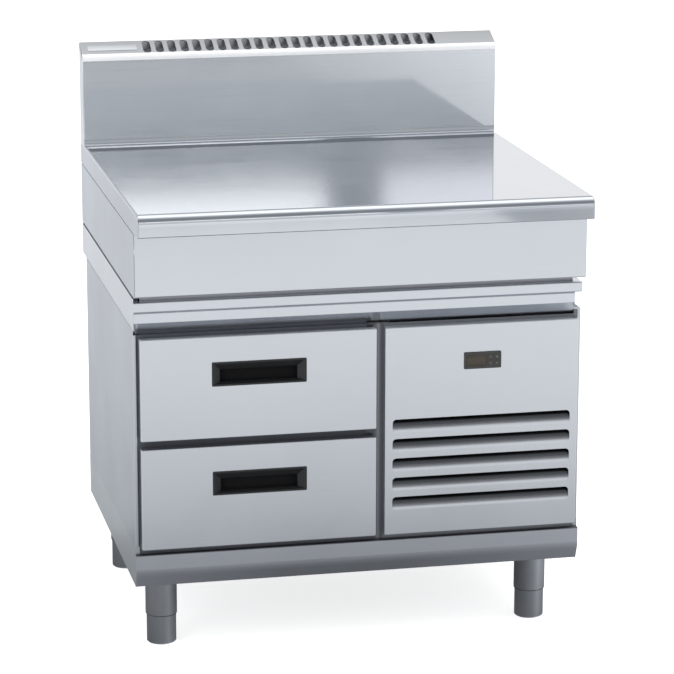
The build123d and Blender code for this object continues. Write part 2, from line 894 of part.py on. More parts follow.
# Drawers: a folded front pan, its foam core and plug, a gasket, a recessed handle,
# a tub and the moving runner members.
gasket_width = 12.0
gasket_inset = 2.0
plug_gap = 4.0
handle_width = 187.5
handle_height = 48.5
handle_drop = 75.0
handle_rim = 2.0
handle_proud = 1.0
handle_depth = 26.0
handle_wall = 1.5
pocket_side = 15.0
pocket_sill = 4.0
pocket_floor = 22.0
grip_depth = 9.0
grip_height = 9.0
hole_width = handle_width - 2 * handle_rim
hole_height = handle_height - 2 * handle_rim
tub_half = cavity_width / 2 - tub_gap
tub_corner = 12.0
tub_rim = 6.0
for level, drawer_z, runner_z in (
    ("upper", upper_drawer_z, upper_runner_z),
    ("lower", lower_drawer_z, lower_runner_z),
):
    handle_z = drawer_z + drawer_front_height / 2 - handle_drop
    with BuildPart() as drawer_front:
        with BuildSketch(Plane.XZ.offset(-face_y)):
            with Locations((drawer_x, drawer_z)):
                Rectangle(drawer_front_width, drawer_front_height)
        extrude(amount=-front_fold)
        front_rim = drawer_front.faces().sort_by(Axis.Y)[0].edges()
        upright = drawer_front.edges().filter_by(Axis.Y)
        fillet(upright, radius=bend)
        front_rim = drawer_front.faces().sort_by(Axis.Y)[0].edges()
        fillet(front_rim, radius=bend - gauge / 2)
        open_face = drawer_front.faces().sort_by(Axis.Y)[-1]
        offset(amount=-skin, openings=[open_face])
        with BuildSketch(Plane.XZ.offset(-face_y)):
            with Locations((drawer_x, handle_z)):
                Rectangle(hole_width, hole_height)
        extrude(amount=-skin, mode=Mode.SUBTRACT)
    save(drawer_front, f"{level}_drawer_front")

    with BuildPart() as drawer_core:
        with BuildSketch(Plane.XZ.offset(-(face_y + skin + fit))):
            with Locations((drawer_x, drawer_z)):
                Rectangle(
                    drawer_front_width - 2 * (bend + fit),
                    drawer_front_height - 2 * (bend + fit),
                )
        extrude(amount=-(front_fold - skin - fit))
        with BuildSketch(Plane.XZ.offset(-front_rear_y)):
            with Locations((drawer_x, drawer_z)):
                Rectangle(cavity_width - 2 * plug_gap, opening_height - 2 * plug_gap)
        extrude(amount=-plug_depth)
        with BuildSketch(Plane.XZ.offset(-face_y)):
            with Locations((drawer_x, handle_z)):
                Rectangle(hole_width, hole_height)
        extrude(amount=-(handle_depth + fit), mode=Mode.SUBTRACT)
    save(drawer_core, f"{level}_drawer_core")

    with BuildPart() as drawer_gasket:
        with BuildSketch(Plane.XZ.offset(-front_rear_y)):
            with Locations((drawer_x, drawer_z)):
                Rectangle(
                    drawer_front_width - 2 * (gasket_inset + bend),
                    drawer_front_height - 2 * gasket_inset,
                )
                Rectangle(
                    drawer_front_width - 2 * (gasket_inset + bend + gasket_width),
                    drawer_front_height - 2 * (gasket_inset + gasket_width),
                    mode=Mode.SUBTRACT,
                )
        extrude(amount=-(frame_y - fit - front_rear_y))
    save(drawer_gasket, f"{level}_drawer_gasket")

    pocket_width = hole_width - 2 * pocket_side
    pocket_height = hole_height - pocket_side - pocket_sill
    pocket_z = handle_z - (pocket_side - pocket_sill) / 2
    with BuildPart() as drawer_handle:
        with BuildSketch(Plane.XZ.offset(-(face_y - handle_proud))):
            with Locations((drawer_x, handle_z)):
                RectangleRounded(handle_width, handle_height, handle_rim)
        extrude(amount=-handle_proud)
        with BuildSketch(Plane.XZ.offset(-face_y)):
            with Locations((drawer_x, handle_z)):
                Rectangle(hole_width - 2 * fit, hole_height - 2 * fit)
        extrude(amount=-handle_depth)
        with BuildSketch(Plane.XZ.offset(-(face_y - handle_proud))):
            with Locations((drawer_x, handle_z)):
                Rectangle(hole_width - 2 * handle_wall, hole_height - 2 * handle_wall)
        with BuildSketch(Plane.XZ.offset(-(face_y + grip_depth))):
            with Locations((drawer_x, pocket_z)):
                Rectangle(pocket_width, pocket_height)
        loft(mode=Mode.SUBTRACT)
        with BuildSketch(Plane.XZ.offset(-(face_y + grip_depth))):
            with Locations((drawer_x, pocket_z)):
                Rectangle(pocket_width, pocket_height)
            with Locations((drawer_x, pocket_z + grip_height / 2)):
                Rectangle(pocket_width, pocket_height + grip_height)
        extrude(amount=-(pocket_floor - grip_depth), mode=Mode.SUBTRACT)
    save(drawer_handle, f"{level}_drawer_handle")

    tub_z = drawer_z - opening_height / 2 + tub_rise
    tub_front_y = plug_rear_y
    with BuildPart() as drawer_tub:
        with BuildSketch(Plane.XY.offset(tub_z)):
            with Locations((drawer_x, tub_front_y + tub_length / 2)):
                Rectangle(2 * (tub_half - fit), tub_length)
        extrude(amount=tub_height)
        fillet(drawer_tub.edges().filter_by(Axis.Z), radius=tub_corner)
        tub_bottom = drawer_tub.faces().sort_by(Axis.Z)[0].edges()
        fillet(tub_bottom, radius=tub_corner / 2)
        tub_top = drawer_tub.faces().sort_by(Axis.Z)[-1]
        offset(amount=-liner_wall, openings=[tub_top])
    save(drawer_tub, f"{level}_drawer_tub")

    middle_runners = runner_pair([runner_z], 1, runner_depth)
    save(middle_runners, f"{level}_middle_runners")
    inner_reach = tub_gap - 2 * runner_step
    inner_runners = runner_pair([runner_z], 2, inner_reach)
    save(inner_runners, f"{level}_inner_runners")

# Louvred panel: a folded cover over the machine bay that pulls straight off.
louvre_panel_width = louvre_right_x - louvre_left_x
louvre_panel_height = head_z - sill_z
louvre_panel_z = (head_z + sill_z) / 2
louvre_fold = frame_y - fit - face_y
louvre_pitch = 39.85
louvre_margin = 15.5
louvre_width = louvre_panel_width - 2 * louvre_margin
louvre_height = 27.0
louvre_depth = 18.0
louvre_corner = 8.0
louvre_radius = (louvre_depth**2 + louvre_height**2) / (2 * louvre_depth)
louvre_drop = 186.7  # top of the panel to the top of the first louvre
louvre_sill = 51.0  # least height of plain panel under the last louvre
louvre_room = louvre_panel_height - louvre_drop - louvre_sill
louvre_count = int(louvre_room // louvre_pitch) + 1
louvre_top_z = head_z - louvre_drop
louvre_span = (louvre_count - 1) * louvre_pitch
louvre_mid_z = louvre_top_z - louvre_height / 2 - louvre_span / 2
control_width = 75.6
control_height = 34.0
control_drop = 74.2
control_proud = 3.0
control_rim = 2.3
control_depth = 58.0
control_z = head_z - control_drop
with BuildPart() as louvre_panel:
    with BuildSketch(Plane.XZ.offset(-face_y)):
        with Locations((louvre_x, louvre_panel_z)):
            Rectangle(louvre_panel_width, louvre_panel_height)
    extrude(amount=-louvre_fold)
    fillet(louvre_panel.edges().filter_by(Axis.Y), radius=bend)
    panel_rim = louvre_panel.faces().sort_by(Axis.Y)[0].edges()
    fillet(panel_rim, radius=bend - gauge / 2)
    panel_open = louvre_panel.faces().sort_by(Axis.Y)[-1]
    offset(amount=-skin, openings=[panel_open])
    with BuildSketch(Plane.XZ.offset(-face_y)) as louvre_windows:
        with Locations((louvre_x, louvre_mid_z)):
            with GridLocations(0, louvre_pitch, 1, louvre_count):
                Rectangle(louvre_width, louvre_height)
        tops = [
            vertex
            for vertex in louvre_windows.vertices()
            if (vertex.Z - louvre_mid_z + louvre_span / 2) % louvre_pitch
            < louvre_pitch / 2
        ]
        fillet(tops, radius=louvre_corner)
        with Locations((louvre_x, control_z)):
            Rectangle(control_width - 2 * control_rim, control_height - 2 * control_rim)
    extrude(amount=-skin, mode=Mode.SUBTRACT)
    for row in range(louvre_count):
        blade_z = louvre_mid_z - louvre_span / 2 + row * louvre_pitch
        blade_low = blade_z - louvre_height / 2
        blade_high = blade_z + louvre_height / 2
        with BuildSketch(Plane.YZ.offset(louvre_x)):
            with BuildLine():
                RadiusArc(
                    (face_y, blade_low),
                    (face_y + louvre_depth, blade_high),
                    louvre_radius,
                )
                offset(amount=skin, side=Side.RIGHT)
            make_face()
        extrude(amount=louvre_width / 2 + skin, both=True)
        for side in (-1, 1):
            cheek_x = louvre_x + side * (louvre_width + skin) / 2
            with BuildSketch(Plane.YZ.offset(cheek_x)):
                with BuildLine():
                    RadiusArc(
                        (face_y, blade_low),
                        (face_y + louvre_depth, blade_high),
                        louvre_radius,
                    )
                    Polyline(
                        (face_y + louvre_depth, blade_high),
                        (face_y, blade_high),
                        (face_y, blade_low),
                    )
                make_face()
            extrude(amount=skin / 2, both=True)
save(louvre_panel, "louvre_panel")

# Controller: a bezel on the panel, a body behind it and four small keys.
key_width = 10.0
key_height = 9.0
key_pitch_x = 13.0
key_pitch_z = 13.0
key_inset = 15.5
key_proud = 0.4
key_travel = 0.6
key_well = 4.0
key_thick = key_well - key_travel - fit / 2
bezel_y = face_y - control_proud
key_x = louvre_x + control_width / 2 - key_inset
window_width = 40.0
window_height = 22.0
window_depth = 1.0
window_inset = 25.0
window_x = louvre_x - control_width / 2 + window_inset
key_places = {}
for column, side in (("left", -1), ("right", 1)):
    for row, lift in (("upper", 1), ("lower", -1)):
        key_places[f"{row}_{column}"] = (
            key_x + side * key_pitch_x / 2,
            control_z + lift * key_pitch_z / 2,
        )
with BuildPart() as controller:
    with BuildSketch(Plane.XZ.offset(-bezel_y)):
        with Locations((louvre_x, control_z)):
            RectangleRounded(control_width, control_height, control_rim)
    extrude(amount=-control_proud)
    bezel_rim = controller.faces().sort_by(Axis.Y)[0].edges()
    chamfer(bezel_rim, length=seam)
    with BuildSketch(Plane.XZ.offset(-face_y)):
        with Locations((louvre_x, control_z)):
            Rectangle(
                control_width - 2 * (control_rim + fit),
                control_height - 2 * (control_rim + fit),
            )
    extrude(amount=-control_depth)
    with BuildSketch(Plane.XZ.offset(-bezel_y)):
        with Locations((window_x, control_z)):
            Rectangle(window_width, window_height)
    extrude(amount=-window_depth, mode=Mode.SUBTRACT)
    with BuildSketch(Plane.XZ.offset(-bezel_y)):
        with Locations(*key_places.values()):
            Rectangle(key_width + 2 * fit, key_height + 2 * fit)
    extrude(amount=-key_well, mode=Mode.SUBTRACT)
save(controller, "controller")

for place, (place_x, place_z) in key_places.items():
    with BuildPart() as key:
        with BuildSketch(Plane.XZ.offset(-(bezel_y - key_proud))):
            with Locations((place_x, place_z)):
                Rectangle(key_width, key_height)
        extrude(amount=-(key_thick + key_proud))
    save(key, f"key_{place}")

# Evaporator at the back of the cold cavity: a coil, a cover with a fan opening and
# a return grille, and the fan itself.
evaporator_side = 36.0
evaporator_rise = 46.0
evaporator_width = cavity_width - 2 * evaporator_side
evaporator_height = cavity_top_z - cavity_floor_z - 2 * evaporator_rise
evaporator_depth = 48.0
coil_gap = 12.0
coil_share = 0.4  # coil's share of the cover's height
coil_height = coil_share * evaporator_height
coil_depth = 36.0
evaporator_y = cavity_rear_y - evaporator_depth
evaporator_z = cavity_floor_z + evaporator_rise
grille_count = 7
grille_pitch = coil_height / (grille_count + 1.5)
grille_height = grille_pitch / 2
grille_z = evaporator_z + coil_gap + coil_height / 2
fan_hole_share = 0.2  # radius of the fan's opening to the height of its sheet
fan_hole = fan_hole_share * evaporator_height
blade_gap = 4.0
air_fan_z = evaporator_z + evaporator_height - fan_hole - 2 * coil_gap
hub_share = 0.4  # hub to fan opening
air_motor_radius = hub_share * fan_hole
air_motor_depth = 20.0
air_fan_depth = 18.0
with BuildPart() as evaporator_coil:
    with BuildSketch(Plane.XZ.offset(-(cavity_rear_y - coil_depth))):
        with Locations((drawer_x, grille_z)):
            Rectangle(evaporator_width - 2 * coil_gap, coil_height)
    extrude(amount=-coil_depth)
save(evaporator_coil, "evaporator_coil")

with BuildPart() as evaporator_cover:
    with BuildSketch(Plane.XZ.offset(-evaporator_y)):
        with Locations((drawer_x, evaporator_z + evaporator_height / 2)):
            Rectangle(evaporator_width, evaporator_height)
    extrude(amount=-evaporator_depth)
    cover_rear = evaporator_cover.faces().sort_by(Axis.Y)[-1]
    offset(amount=-skin, openings=[cover_rear])
    with BuildSketch(Plane.XZ.offset(-evaporator_y)):
        with Locations((drawer_x, air_fan_z)):
            Circle(fan_hole)
        with Locations((drawer_x, grille_z)):
            with GridLocations(0, grille_pitch, 1, grille_count):
                SlotOverall(evaporator_width - 4 * coil_gap, grille_height)
    extrude(amount=-skin, mode=Mode.SUBTRACT)
    with BuildSketch(Plane.XZ.offset(-(cavity_rear_y - air_motor_depth))):
        with Locations((drawer_x, air_fan_z)):
            Circle(air_motor_radius)
    extrude(amount=-air_motor_depth)
save(evaporator_cover, "evaporator_cover")


def fan_wheel(centre, hub_radius, tip_radius, wheel_depth, pitch):
    """Axial fan with a round hub and five flat pitched blades, axis front to back."""
    blade_length = tip_radius - hub_radius / 2
    chord = wheel_depth / math.sin(math.radians(pitch)) - blade_gap
    with BuildPart() as wheel:
        with Locations(Plane(origin=centre, x_dir=(1, 0, 0), z_dir=(0, -1, 0))):
            Cylinder(hub_radius, wheel_depth)
            with PolarLocations(hub_radius / 2 + blade_length / 2, 5):
                with Locations(Location((0, 0, 0), (pitch, 0, 0))):
                    Box(blade_length, chord, gauge)
    return wheel


blade_pitch = 32.0
air_fan_y = cavity_rear_y - air_motor_depth - fit - air_fan_depth / 2
air_fan = fan_wheel(
    (drawer_x, air_fan_y, air_fan_z),
    air_motor_radius - fit,
    fan_hole - blade_gap,
    air_fan_depth,
    blade_pitch,
)
save(air_fan, "evaporator_fan")

# Condensing set in the machine bay: a coil behind the louvres, a shroud with its
# fan and motor, and a hermetic compressor.
bay_x = (partition_x + width / 2 - chassis) / 2
condenser_side = 44.0
condenser_headroom = 169.0
condenser_width = width / 2 - chassis - partition_x - 2 * condenser_side
condenser_height = cabinet_top_z - cabinet_floor_z - condenser_headroom
condenser_depth = 40.0
condenser_inset = 20.0
condenser_y = frame_rear_y + condenser_inset
condenser_z = cabinet_floor_z + condenser_height / 2
bend_count = 6
bend_pitch = condenser_height / (bend_count + 0.8)
bend_reach = 14.0
tube_radius = 4.0
shroud_depth = 36.0
fan_radius_share = 0.35  # fan radius to the coil's shorter side
fan_radius = fan_radius_share * min(condenser_width, condenser_height)
fan_depth = 20.0
hub_radius = fan_radius / 4
motor_radius = 40.0
motor_depth = 60.0
arm_width = 12.0
shaft_radius = 8.0
shroud_y = condenser_y + condenser_depth
shroud_rear_y = shroud_y + shroud_depth
arm_y = shroud_rear_y + fan_depth / 2 + blade_gap
with BuildPart() as condenser_coil:
    with BuildSketch(Plane.XZ.offset(-condenser_y)):
        with Locations((bay_x, condenser_z)):
            Rectangle(condenser_width, condenser_height)
    extrude(amount=-condenser_depth)
    for side in (-1, 1):
        bend_x = bay_x + side * condenser_width / 2
        with BuildSketch(Plane.YZ.offset(bend_x)):
            with Locations((condenser_y + condenser_depth / 2, condenser_z)):
                with GridLocations(0, bend_pitch, 1, bend_count):
                    SlotOverall(condenser_depth - 4 * tube_radius, 2 * tube_radius)
        extrude(amount=side * bend_reach)
save(condenser_coil, "condenser_coil")

with BuildPart() as fan_shroud:
    with BuildSketch(Plane.XZ.offset(-shroud_y)):
        with Locations((bay_x, condenser_z)):
            Rectangle(condenser_width, condenser_height)
    extrude(amount=-shroud_depth)
    shroud_front = fan_shroud.faces().sort_by(Axis.Y)[0]
    offset(amount=-skin, openings=[shroud_front])
    with BuildSketch(Plane.XZ.offset(-shroud_rear_y)):
        with Locations((bay_x, condenser_z)):
            Circle(fan_radius + blade_gap)
    extrude(amount=skin, mode=Mode.SUBTRACT)
    with BuildSketch(Plane.XZ.offset(-arm_y)):
        with Locations((bay_x, condenser_z)):
            Rectangle(2 * (fan_radius + 2 * arm_width), arm_width)
    extrude(amount=-chassis)
    with BuildSketch(Plane.XZ.offset(-shroud_rear_y)):
        for side in (-1, 1):
            foot_centre = bay_x + side * (fan_radius + 1.5 * arm_width)
            with Locations((foot_centre, condenser_z)):
                Rectangle(arm_width, arm_width)
    extrude(amount=-(arm_y - shroud_rear_y))
    with BuildSketch(Plane.XZ.offset(-arm_y)):
        with Locations((bay_x, condenser_z)):
            Circle(motor_radius)
    extrude(amount=-motor_depth)
    with BuildSketch(Plane.XZ.offset(-arm_y)):
        with Locations((bay_x, condenser_z)):
            Circle(shaft_radius)
    extrude(amount=arm_y - shroud_rear_y - fan_depth / 2 - fit)
save(fan_shroud, "fan_shroud")

fan = fan_wheel(
    (bay_x, shroud_rear_y, condenser_z),
    hub_radius,
    fan_radius,
    fan_depth,
    blade_pitch,
)
save(fan, "condenser_fan")

compressor_side_gap = 136.0
compressor_rear_gap = 220.0
compressor_radius = 70.0
compressor_share = 0.34  # drum's share of the machine bay's height
compressor_height = compressor_share * (cabinet_top_z - cabinet_floor_z)
compressor_dome = 28.0
mount_height = 12.0
mount_radius = 10.0
mount_spread = 130.0
plate_size = 160.0
stub_height = 12.0
stub_radius = 6.0
stub_spread = 20.0
compressor_x = width / 2 - compressor_side_gap
compressor_y = cabinet_rear_y - compressor_rear_gap
plate_z = cabinet_floor_z + mount_height
dome_z = plate_z + chassis + compressor_height
stub_z = dome_z + stub_height
with BuildPart() as compressor:
    with BuildSketch(Plane.XY.offset(plate_z)):
        with Locations((compressor_x, compressor_y)):
            Circle(compressor_radius)
    extrude(amount=chassis + compressor_height)
    dome_edge = compressor.faces().sort_by(Axis.Z)[-1].edges()
    fillet(dome_edge, radius=compressor_dome)
    with BuildSketch(Plane.XY.offset(plate_z)):
        with Locations((compressor_x, compressor_y)):
            RectangleRounded(plate_size, plate_size, mount_radius)
    extrude(amount=chassis)
    with BuildSketch(Plane.XY.offset(cabinet_floor_z)):
        with Locations((compressor_x, compressor_y)):
            with GridLocations(mount_spread, mount_spread, 2, 2):
                Circle(mount_radius)
    extrude(amount=mount_height)
    with BuildSketch(Plane.XY.offset(dome_z)):
        for side in (-1, 1):
            with Locations((compressor_x + side * stub_spread, compressor_y + side * stub_spread)):
                Circle(stub_radius)
    extrude(amount=stub_height)
save(compressor, "compressor")

# Pipes: discharge over to the coil, liquid line with its drier, and suction line.
pipe_bend = 22.0
discharge_rise = 36.0
liquid_rise = 56.0
suction_rise = 90.0
suction_z = stub_z + suction_rise
liquid_x = bay_x - condenser_width / 3
pipe_y = condenser_y + condenser_depth / 2
discharge_x = compressor_x - stub_spread
suction_x = compressor_x + stub_spread
discharge_y = compressor_y - stub_spread
suction_y = compressor_y + stub_spread
coil_top_z = condenser_z + condenser_height / 2
discharge_z = coil_top_z + discharge_rise
liquid_z = coil_top_z + liquid_rise
drier_radius = 13.0
drier_length = 26.0
with BuildPart() as refrigerant_pipes:
    with BuildLine():
        FilletPolyline(
            (discharge_x, discharge_y, stub_z),
            (discharge_x, discharge_y, discharge_z),
            (discharge_x, pipe_y, discharge_z),
            (discharge_x, pipe_y, coil_top_z),
            radius=pipe_bend,
        )
    with BuildSketch(Plane.XY.offset(stub_z)):
        with Locations((discharge_x, discharge_y)):
            Circle(tube_radius)
    sweep()
    with BuildLine():
        FilletPolyline(
            (suction_x, suction_y, stub_z),
            (suction_x, suction_y, suction_z),
            (partition_x, suction_y, suction_z),
            radius=pipe_bend,
        )
    with BuildSketch(Plane.XY.offset(stub_z)):
        with Locations((suction_x, suction_y)):
            Circle(tube_radius)
    sweep()
    with BuildLine():
        FilletPolyline(
            (liquid_x, pipe_y, coil_top_z),
            (liquid_x, pipe_y, liquid_z),
            (partition_x, pipe_y, liquid_z),
            radius=pipe_bend,
        )
    with BuildSketch(Plane.XY.offset(coil_top_z)):
        with Locations((liquid_x, pipe_y)):
            Circle(tube_radius)
    sweep()
    with BuildSketch(Plane.XY.offset(coil_top_z + 2 * tube_radius)):
        with Locations((liquid_x, pipe_y)):
            Circle(drier_radius)
    extrude(amount=drier_length)
save(refrigerant_pipes, "refrigerant_pipes")

# Control box on the right side of the machine bay.
box_width = 90.0
box_length = 170.0
box_height = 110.0
box_lid = 3.0
box_drop = 30.0
box_setback = 150.0
box_front_y = roof_front_y + box_setback
box_x = width / 2 - skin - fit - box_width / 2
box_z = cabinet_top_z - box_drop - box_height
with BuildPart() as control_box:
    with BuildSketch(Plane.XY.offset(box_z)):
        with Locations((box_x, box_front_y + box_length / 2)):
            Rectangle(box_width, box_length)
    extrude(amount=box_height)
    fillet(control_box.edges().filter_by(Axis.X), radius=box_lid)
    with BuildSketch(Plane.YZ.offset(box_x - box_width / 2)):
        with Locations((box_front_y + box_length / 2, box_z + box_height / 2)):
            Rectangle(box_length - 4 * box_lid, box_height - 4 * box_lid)
    extrude(amount=-box_lid)
save(control_box, "control_box")

# Drain: a flanged tube through the cavity floor, and the tray it drips into.
drain_wall = 1.5
drain_flange = 16.0
drain_length = 74.0
tray_width = 150.0
tray_length = 70.0
tray_height = 28.0
with BuildPart() as drain:
    with BuildSketch(Plane.XY.offset(cavity_floor_z - drain_length)):
        with Locations((drawer_x, drain_y)):
            Circle(drain_radius)
    extrude(amount=drain_length)
    with BuildSketch(Plane.XY.offset(cavity_floor_z)):
        with Locations((drawer_x, drain_y)):
            Circle(drain_flange)
    extrude(amount=drain_wall)
    with BuildSketch(Plane.XY.offset(cavity_floor_z - drain_length)):
        with Locations((drawer_x, drain_y)):
            Circle(drain_radius - drain_wall)
    extrude(amount=drain_length + drain_wall, mode=Mode.SUBTRACT)
    with BuildSketch(Plane.XY.offset(bearer_z)):
        with Locations((drawer_x, drain_y)):
            Rectangle(tray_width, tray_length)
            Rectangle(
                tray_width - 2 * drain_wall,
                tray_length - 2 * drain_wall,
                mode=Mode.SUBTRACT,
            )
    extrude(amount=tray_height)
    with BuildSketch(Plane.XY.offset(bearer_z)):
        with Locations((drawer_x, drain_y)):
            Rectangle(tray_width, tray_length)
    extrude(amount=drain_wall)
save(drain, "drain")

# Cable gland: a hollow screw through the back sheet with a nut on each side.
gland_length = 40.0
gland_reach = 16.0
gland_bore = 6.0
nut_width = 14.0
nut_depth = 10.0
with BuildPart() as cable_gland:
    with BuildSketch(Plane.XZ.offset(-(cabinet_rear_y - gland_reach))):
        with Locations((gland_x, gland_z)):
            Circle(gland_radius)
    extrude(amount=-gland_length)
    for nut_y in (cabinet_rear_y - skin - nut_depth, cabinet_rear_y):
        with BuildSketch(Plane.XZ.offset(-nut_y)):
            with Locations((gland_x, gland_z)):
                RegularPolygon(nut_width, 6)
        extrude(amount=-nut_depth)
    with BuildSketch(Plane.XZ.offset(-(cabinet_rear_y - gland_reach))):
        with Locations((gland_x, gland_z)):
            Circle(gland_bore)
    extrude(amount=-gland_length, mode=Mode.SUBTRACT)
save(cable_gland, "cable_gland")
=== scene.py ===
import bpy
import bmesh
import math
from mathutils import Euler, Matrix, Vector


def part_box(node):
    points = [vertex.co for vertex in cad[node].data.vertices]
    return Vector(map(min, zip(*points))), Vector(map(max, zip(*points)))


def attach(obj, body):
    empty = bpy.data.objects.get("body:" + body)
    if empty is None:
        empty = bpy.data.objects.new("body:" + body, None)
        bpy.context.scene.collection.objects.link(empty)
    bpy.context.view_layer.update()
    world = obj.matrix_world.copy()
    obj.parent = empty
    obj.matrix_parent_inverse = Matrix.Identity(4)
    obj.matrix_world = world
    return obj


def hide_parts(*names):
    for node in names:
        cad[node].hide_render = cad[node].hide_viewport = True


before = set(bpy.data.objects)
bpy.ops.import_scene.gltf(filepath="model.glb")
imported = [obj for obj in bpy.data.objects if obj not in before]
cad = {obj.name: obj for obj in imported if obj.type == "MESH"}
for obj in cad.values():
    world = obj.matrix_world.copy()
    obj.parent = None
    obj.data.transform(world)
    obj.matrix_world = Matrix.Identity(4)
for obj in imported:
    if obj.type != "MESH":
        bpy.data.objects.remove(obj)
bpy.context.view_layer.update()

# Camera at the photograph's place: left of the middle, a little above the splashback,
# a long lens from almost six metres.
camera_place = (-1.2506, -5.8508, 2.0499)
camera_turn = math.radians(-12.28)
camera_tilt = math.radians(90 - 13.98)
camera_roll = math.radians(0.08)
camera_data = bpy.data.cameras.new("camera")
camera_data.lens = 159.3
camera_data.sensor_width = 36.0
camera_data.clip_start = 0.1
camera_data.clip_end = 200.0
camera = bpy.data.objects.new("camera", camera_data)
camera.matrix_world = (
    Matrix.Translation(camera_place)
    @ Matrix.Rotation(camera_turn, 4, "Z")
    @ Matrix.Rotation(camera_tilt, 4, "X")
    @ Matrix.Rotation(camera_roll, 4, "Z")
)
bpy.context.scene.collection.objects.link(camera)
bpy.context.scene.camera = camera
bpy.context.scene.view_settings.view_transform = "Standard"

# Studio: a wide white floor that also fills the background, in an even white world.
# Both are lifted to white for the rays of the camera, of gloss and of clear pieces.
floor_half = 90.0
floor_tone = (0.90, 0.90, 0.90, 1.0)
floor_lift = 0.70
world_fill = 0.72
white = (1.0, 1.0, 1.0, 1.0)


def feed(tree, node, fed):
    """Links outputs to a node's sockets, or sets the sockets to numbers and colours."""
    for socket, value in fed.items():
        if isinstance(value, bpy.types.NodeSocket):
            tree.links.new(value, node.inputs[socket])
        else:
            node.inputs[socket].default_value = value


def add_node(tree, kind, fed=None, **settings):
    """Adds a node with its settings and what feeds it, and gives its outputs."""
    node = tree.nodes.new(kind)
    for setting, value in settings.items():
        setattr(node, setting, value)
    feed(tree, node, fed or {})
    return node.outputs


def seen_directly(tree):
    """Output that is 1 for the rays that have to find a white background."""
    path = add_node(tree, "ShaderNodeLightPath")
    total = path["Is Camera Ray"]
    for ray in ("Is Glossy Ray", "Is Transmission Ray"):
        total = add_node(tree, "ShaderNodeMath", {0: total, 1: path[ray]}, operation="MAXIMUM")[0]
    return total


def new_material(name):
    """An empty node material with its Principled shader and its output."""
    material = bpy.data.materials.new(name)
    material.use_nodes = True
    tree = material.node_tree
    return material, tree, tree.nodes["Principled BSDF"]


def place_mesh(maker, name):
    """Turns a finished bmesh into an object at the origin and links it."""
    mesh = bpy.data.meshes.new(name)
    maker.to_mesh(mesh)
    maker.free()
    piece = bpy.data.objects.new(name, mesh)
    bpy.context.scene.collection.objects.link(piece)
    return piece


floor_paint, tree, shader = new_material("floor_paint")
direct = seen_directly(tree)
glow = add_node(tree, "ShaderNodeMath", {0: direct, 1: floor_lift}, operation="MULTIPLY")[0]
feed(
    tree,
    shader,
    {
        "Base Color": floor_tone,
        "Roughness": 0.9,
        "Specular IOR Level": 0.1,
        "Emission Color": white,
        "Emission Strength": glow,
    },
)
slab = bmesh.new()
bmesh.ops.create_grid(slab, x_segments=1, y_segments=1, size=floor_half)
floor = place_mesh(slab, "studio_floor")
floor.data.materials.append(floor_paint)

world = bpy.data.worlds.new("studio_world")
world.use_nodes = True
bpy.context.scene.world = world
sky = world.node_tree
sky_range = {"Value": seen_directly(sky), "To Min": world_fill, "To Max": 1.0}
sky_level = add_node(sky, "ShaderNodeMapRange", sky_range)["Result"]
feed(sky, sky.nodes["Background"], {"Color": white, "Strength": sky_level})

# Glowing cards, painted reflections that show in the gloss of the steel and nowhere else: the floor in
# front and behind, with painted shade darker near the object and a brighter patch at the right; a wall
# behind the camera with two soft boxes; a ceiling that is bright above the object only.
cool = (0.97, 0.985, 1.0)
warm = (1.0, 0.985, 0.965)
rosy = (1.0, 0.98, 1.0)
shade_tint = (0.10, 0.04, 0.0)
card_lift = 0.002
patch_lift = 0.01
wall_y = -9.0
wall_height = 6.0
box_step = 0.1


def toned_ramp(tree, value, stops):
    """Colour that follows a value from 0 to 1 through stops of (position, colour)."""
    ramp = tree.nodes.new("ShaderNodeValToRGB")
    feed(tree, ramp, {"Fac": value})
    points = ramp.color_ramp.elements
    while len(points) < len(stops):
        points.new(0.5)
    for point, (position, colour) in zip(points, stops):
        point.position = position
        point.color = (*colour, 1.0)
    return ramp.outputs["Color"]


def card_paint(name, near, reach, stops, tint):
    """Glow that follows the distance outside the box 'near' from 0 to 'reach'.

    The box is its centre and its half sizes, and a stop is (distance, level). Levels
    under 1 are bluer, as shade is in a pale room.
    """
    material, tree, _ = new_material(name)
    tree.nodes.clear()
    away = add_node(tree, "ShaderNodeTexCoord")["Object"]
    for operation, operand in (
        ("SUBTRACT", {1: near[0]}),
        ("ABSOLUTE", {}),
        ("SUBTRACT", {1: near[1]}),
        ("MAXIMUM", {1: (0.0, 0.0, 0.0)}),
    ):
        away = add_node(tree, "ShaderNodeVectorMath", {0: away, **operand}, operation=operation)["Vector"]
    distance = add_node(tree, "ShaderNodeVectorMath", {0: away}, operation="LENGTH")["Value"]
    part = add_node(tree, "ShaderNodeMath", {0: distance, 1: reach}, operation="DIVIDE")[0]
    toned = []
    for far, level in stops:
        shade = 1.0 - min(level, 1.0)
        colour = [level * (full - shade * loss) for full, loss in zip(tint, shade_tint)]
        toned.append((far / reach, colour))
    glow = add_node(tree, "ShaderNodeEmission", {"Color": toned_ramp(tree, part, toned)})
    add_node(tree, "ShaderNodeOutputMaterial", {"Surface": glow["Emission"]})
    return material


def gloss_card(name, half, centre, lean, near, reach, stops, tint=cool):
    """A flat card, leaning about X, that only gloss can see."""
    card = bmesh.new()
    bmesh.ops.create_grid(card, x_segments=1, y_segments=1, size=1.0)
    bmesh.ops.scale(card, vec=(*half, 1.0), verts=card.verts)
    turn = Matrix.Rotation(math.radians(lean), 3, "X")
    bmesh.ops.rotate(card, matrix=turn, verts=card.verts)
    bmesh.ops.translate(card, vec=centre, verts=card.verts)
    piece = place_mesh(card, name)
    piece.visible_camera = False
    piece.visible_diffuse = False
    piece.visible_shadow = False
    piece.visible_transmission = False
    piece.data.materials.append(card_paint(f"{name}_paint", near, reach, stops, tint))


